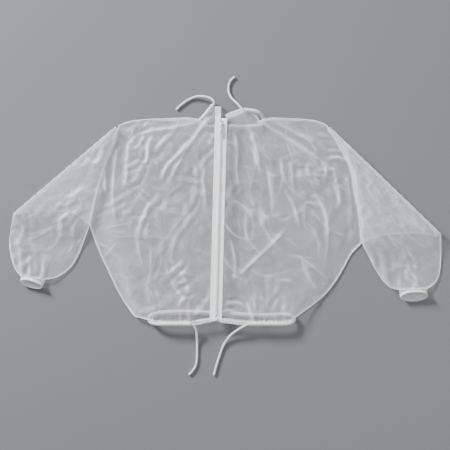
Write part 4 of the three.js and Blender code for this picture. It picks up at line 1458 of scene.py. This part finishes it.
class JACKET_OT_zip_slider(bpy.types.Operator):
    """Make the slider, with its shield shape, flanges and bridge, and the pull tab on it"""

    bl_idname = "jacket.zip_slider"
    bl_label = "Slider and pull tab"

    def execute(self, context):
        low, high = zip_box("zip_slider")
        half, length = high[0], high[1] - low[1]
        plate = 1.25 * MM
        crown = 3.4 * MM
        roof = high[2] - crown - plate
        shield = self.shield(half, length)
        parts = [bevelled_plate(shield, roof, roof + plate, 0.45 * MM),
                 bevelled_plate(shield, low[2], low[2] + plate, 0.45 * MM)]
        for side in (-1, 1):
            a, b = sorted((side * (half - 1.3 * MM), side * half * 0.985))
            foot = (a, -0.36 * length, roof - 1.9 * MM)
            parts.append(rounded_box(foot, (b, 0.3 * length, roof + 0.3 * MM), 0.3 * MM))
        post = 0.48 * MM
        foot = (-post, 0.1 * length, low[2] + 0.5 * MM)
        parts.append(rounded_box(foot, (post, 0.44 * length, roof + 0.4 * MM), 0.2 * MM))
        parts.append(self.bridge(roof + plate, crown))
        vertices, faces, _ = join_meshes(parts)
        slider = make_object("zip_slider_painted", vertices, faces, painted_metal())
        ride(slider, "slider", "zip_slider", "zip_slider")
        self.pull_tab()
        return {"FINISHED"}

    def shield(self, half, length):
        """Wide shoulders at the top where the two coils come in, narrower where they leave joined."""
        right = [(0.74 * half, -0.5 * length), (0.86 * half, -0.42 * length), (0.9 * half, -0.1 * length),
                 (half, 0.16 * length), (half, 0.36 * length), (0.84 * half, 0.48 * length),
                 (0.5 * half, 0.5 * length), (0.22 * half, 0.46 * length), (0.0, 0.34 * length)]
        return right + [(-x, y) for x, y in right[-2::-1]]

    def bridge(self, base, crown):
        """The bridge that the pull tab hangs on, seen from the side as a low arch."""
        turn = np.linspace(0, math.pi, 25)
        reach = 3.9 * MM
        rise = crown - 0.1 * MM
        path = [
            zip_place(0, -reach * math.cos(a), base - 0.5 * MM + rise * math.sin(a) ** 0.55) for a in turn
        ]
        return sweep(path, lambda i: oval(0.9 * MM, 0.55 * MM, 12), up=tuple(ACROSS))

    def pull_tab(self):
        low, high = zip_box("zip_pull_tab")
        half, thick = high[0], high[2] - low[2]
        root, tip = high[1], low[1]
        turn = np.linspace(0, -math.pi, 15)
        end = [(half * math.cos(a), tip + half + half * math.sin(a)) for a in turn]
        neck, waist = 0.8 * half, root - 10 * MM
        outline = [(-neck, root), (-0.2 * half, root), (0.2 * half, root), (neck, root),
                   (neck, waist + 2 * MM), (0.86 * half, waist), *end,
                   (-0.86 * half, waist), (-neck, waist + 2 * MM)]
        vertices, faces, _ = self.with_holes(outline, low[2], low[2] + thick, root, tip, half)
        tab = make_object("zip_pull_tab_painted", vertices, faces, painted_metal())
        ride(tab, "pull_tab", "zip_slider", "zip_pull_tab")

    def with_holes(self, outline, low, high, root, tip, half):
        """The tab's outline with the slot for the bridge and an eye at its end."""
        slot = [(-1.4 * MM, root - 1.5 * MM), (1.4 * MM, root - 1.5 * MM), (1.4 * MM, root - 8.6 * MM),
                (-1.4 * MM, root - 8.6 * MM)]
        turn = np.arange(20) * 2 * math.pi / 20
        eye = [(1.55 * MM * math.cos(a), tip + half + 0.5 * MM + 1.55 * MM * math.sin(a)) for a in turn]
        loops = [outline, slot, eye]
        points = [Vector(p) for loop in loops for p in loop]
        edges, base = [], 0
        for loop in loops:
            edges += [(base + i, base + (i + 1) % len(loop)) for i in range(len(loop))]
            base += len(loop)
        made = geometry.delaunay_2d_cdt(points, edges, [], 1, 1e-8)
        solid = bmesh.new()
        verts = [solid.verts.new(zip_place(p.x, p.y, low)) for p in made[0]]

        def open_space(face):
            x, y = np.mean([[made[0][i].x, made[0][i].y] for i in face], axis=0)
            return any(inside(np.array([[x, y]]), np.array(loop))[0] for loop in (slot, eye))

        flat = [solid.faces.new([verts[i] for i in face]) for face in made[2] if not open_space(face)]
        grown = bmesh.ops.extrude_face_region(solid, geom=flat)
        top = [v for v in grown["geom"] if isinstance(v, bmesh.types.BMVert)]
        bmesh.ops.translate(solid, verts=top, vec=(0, 0, high - low))
        bmesh.ops.recalc_face_normals(solid, faces=solid.faces)
        sharp = [e for e in solid.edges if len(e.link_faces) == 2 and e.calc_face_angle(0) > math.radians(50)]
        bmesh.ops.bevel(solid, geom=sharp, offset=0.3 * MM, segments=2, affect="EDGES", clamp_overlap=True)
        solid.verts.index_update()
        vertices = np.array([v.co for v in solid.verts], float)
        faces = [tuple(v.index for v in f.verts) for f in solid.faces]
        solid.free()
        return vertices, faces, vertices.copy()


# ---- Sidebar and run ----
OPERATORS = (
    JACKET_OT_stage,
    JACKET_OT_cord_ends,
    JACKET_OT_drawcords,
    JACKET_OT_casings,
    JACKET_OT_body,
    JACKET_OT_sleeves,
    JACKET_OT_cuffs,
    JACKET_OT_zip_tapes,
    JACKET_OT_zip_coils,
    JACKET_OT_zip_fittings,
    JACKET_OT_zip_slider,
)


class JACKET_PT_pieces(bpy.types.Panel):
    """Lists the jacket's sizes, colours and pieces"""

    bl_idname = "JACKET_PT_pieces"
    bl_label = "Beekeeping jacket"
    bl_space_type = "VIEW_3D"
    bl_region_type = "UI"
    bl_category = "Jacket"

    def draw(self, context):
        for group in (context.scene.jacket_sizes, context.scene.jacket_colours):
            for name in group.bl_rna.properties.keys():
                if name not in ("rna_type", "name"):
                    self.layout.prop(group, name)
        for operator in OPERATORS:
            self.layout.operator(operator.bl_idname)


CLASSES = (JacketSizes, JacketColours, *OPERATORS, JACKET_PT_pieces)


def register():
    for item in CLASSES:
        bpy.utils.register_class(item)
    bpy.types.Scene.jacket_sizes = PointerProperty(type=JacketSizes)
    bpy.types.Scene.jacket_colours = PointerProperty(type=JacketColours)


def unregister():
    del bpy.types.Scene.jacket_colours
    del bpy.types.Scene.jacket_sizes
    for item in reversed(CLASSES):
        bpy.utils.unregister_class(item)


def main():
    register()
    for operator in OPERATORS:
        group, name = operator.bl_idname.split(".")
        getattr(getattr(bpy.ops, group), name)()


if __name__ == "__main__":
    main()
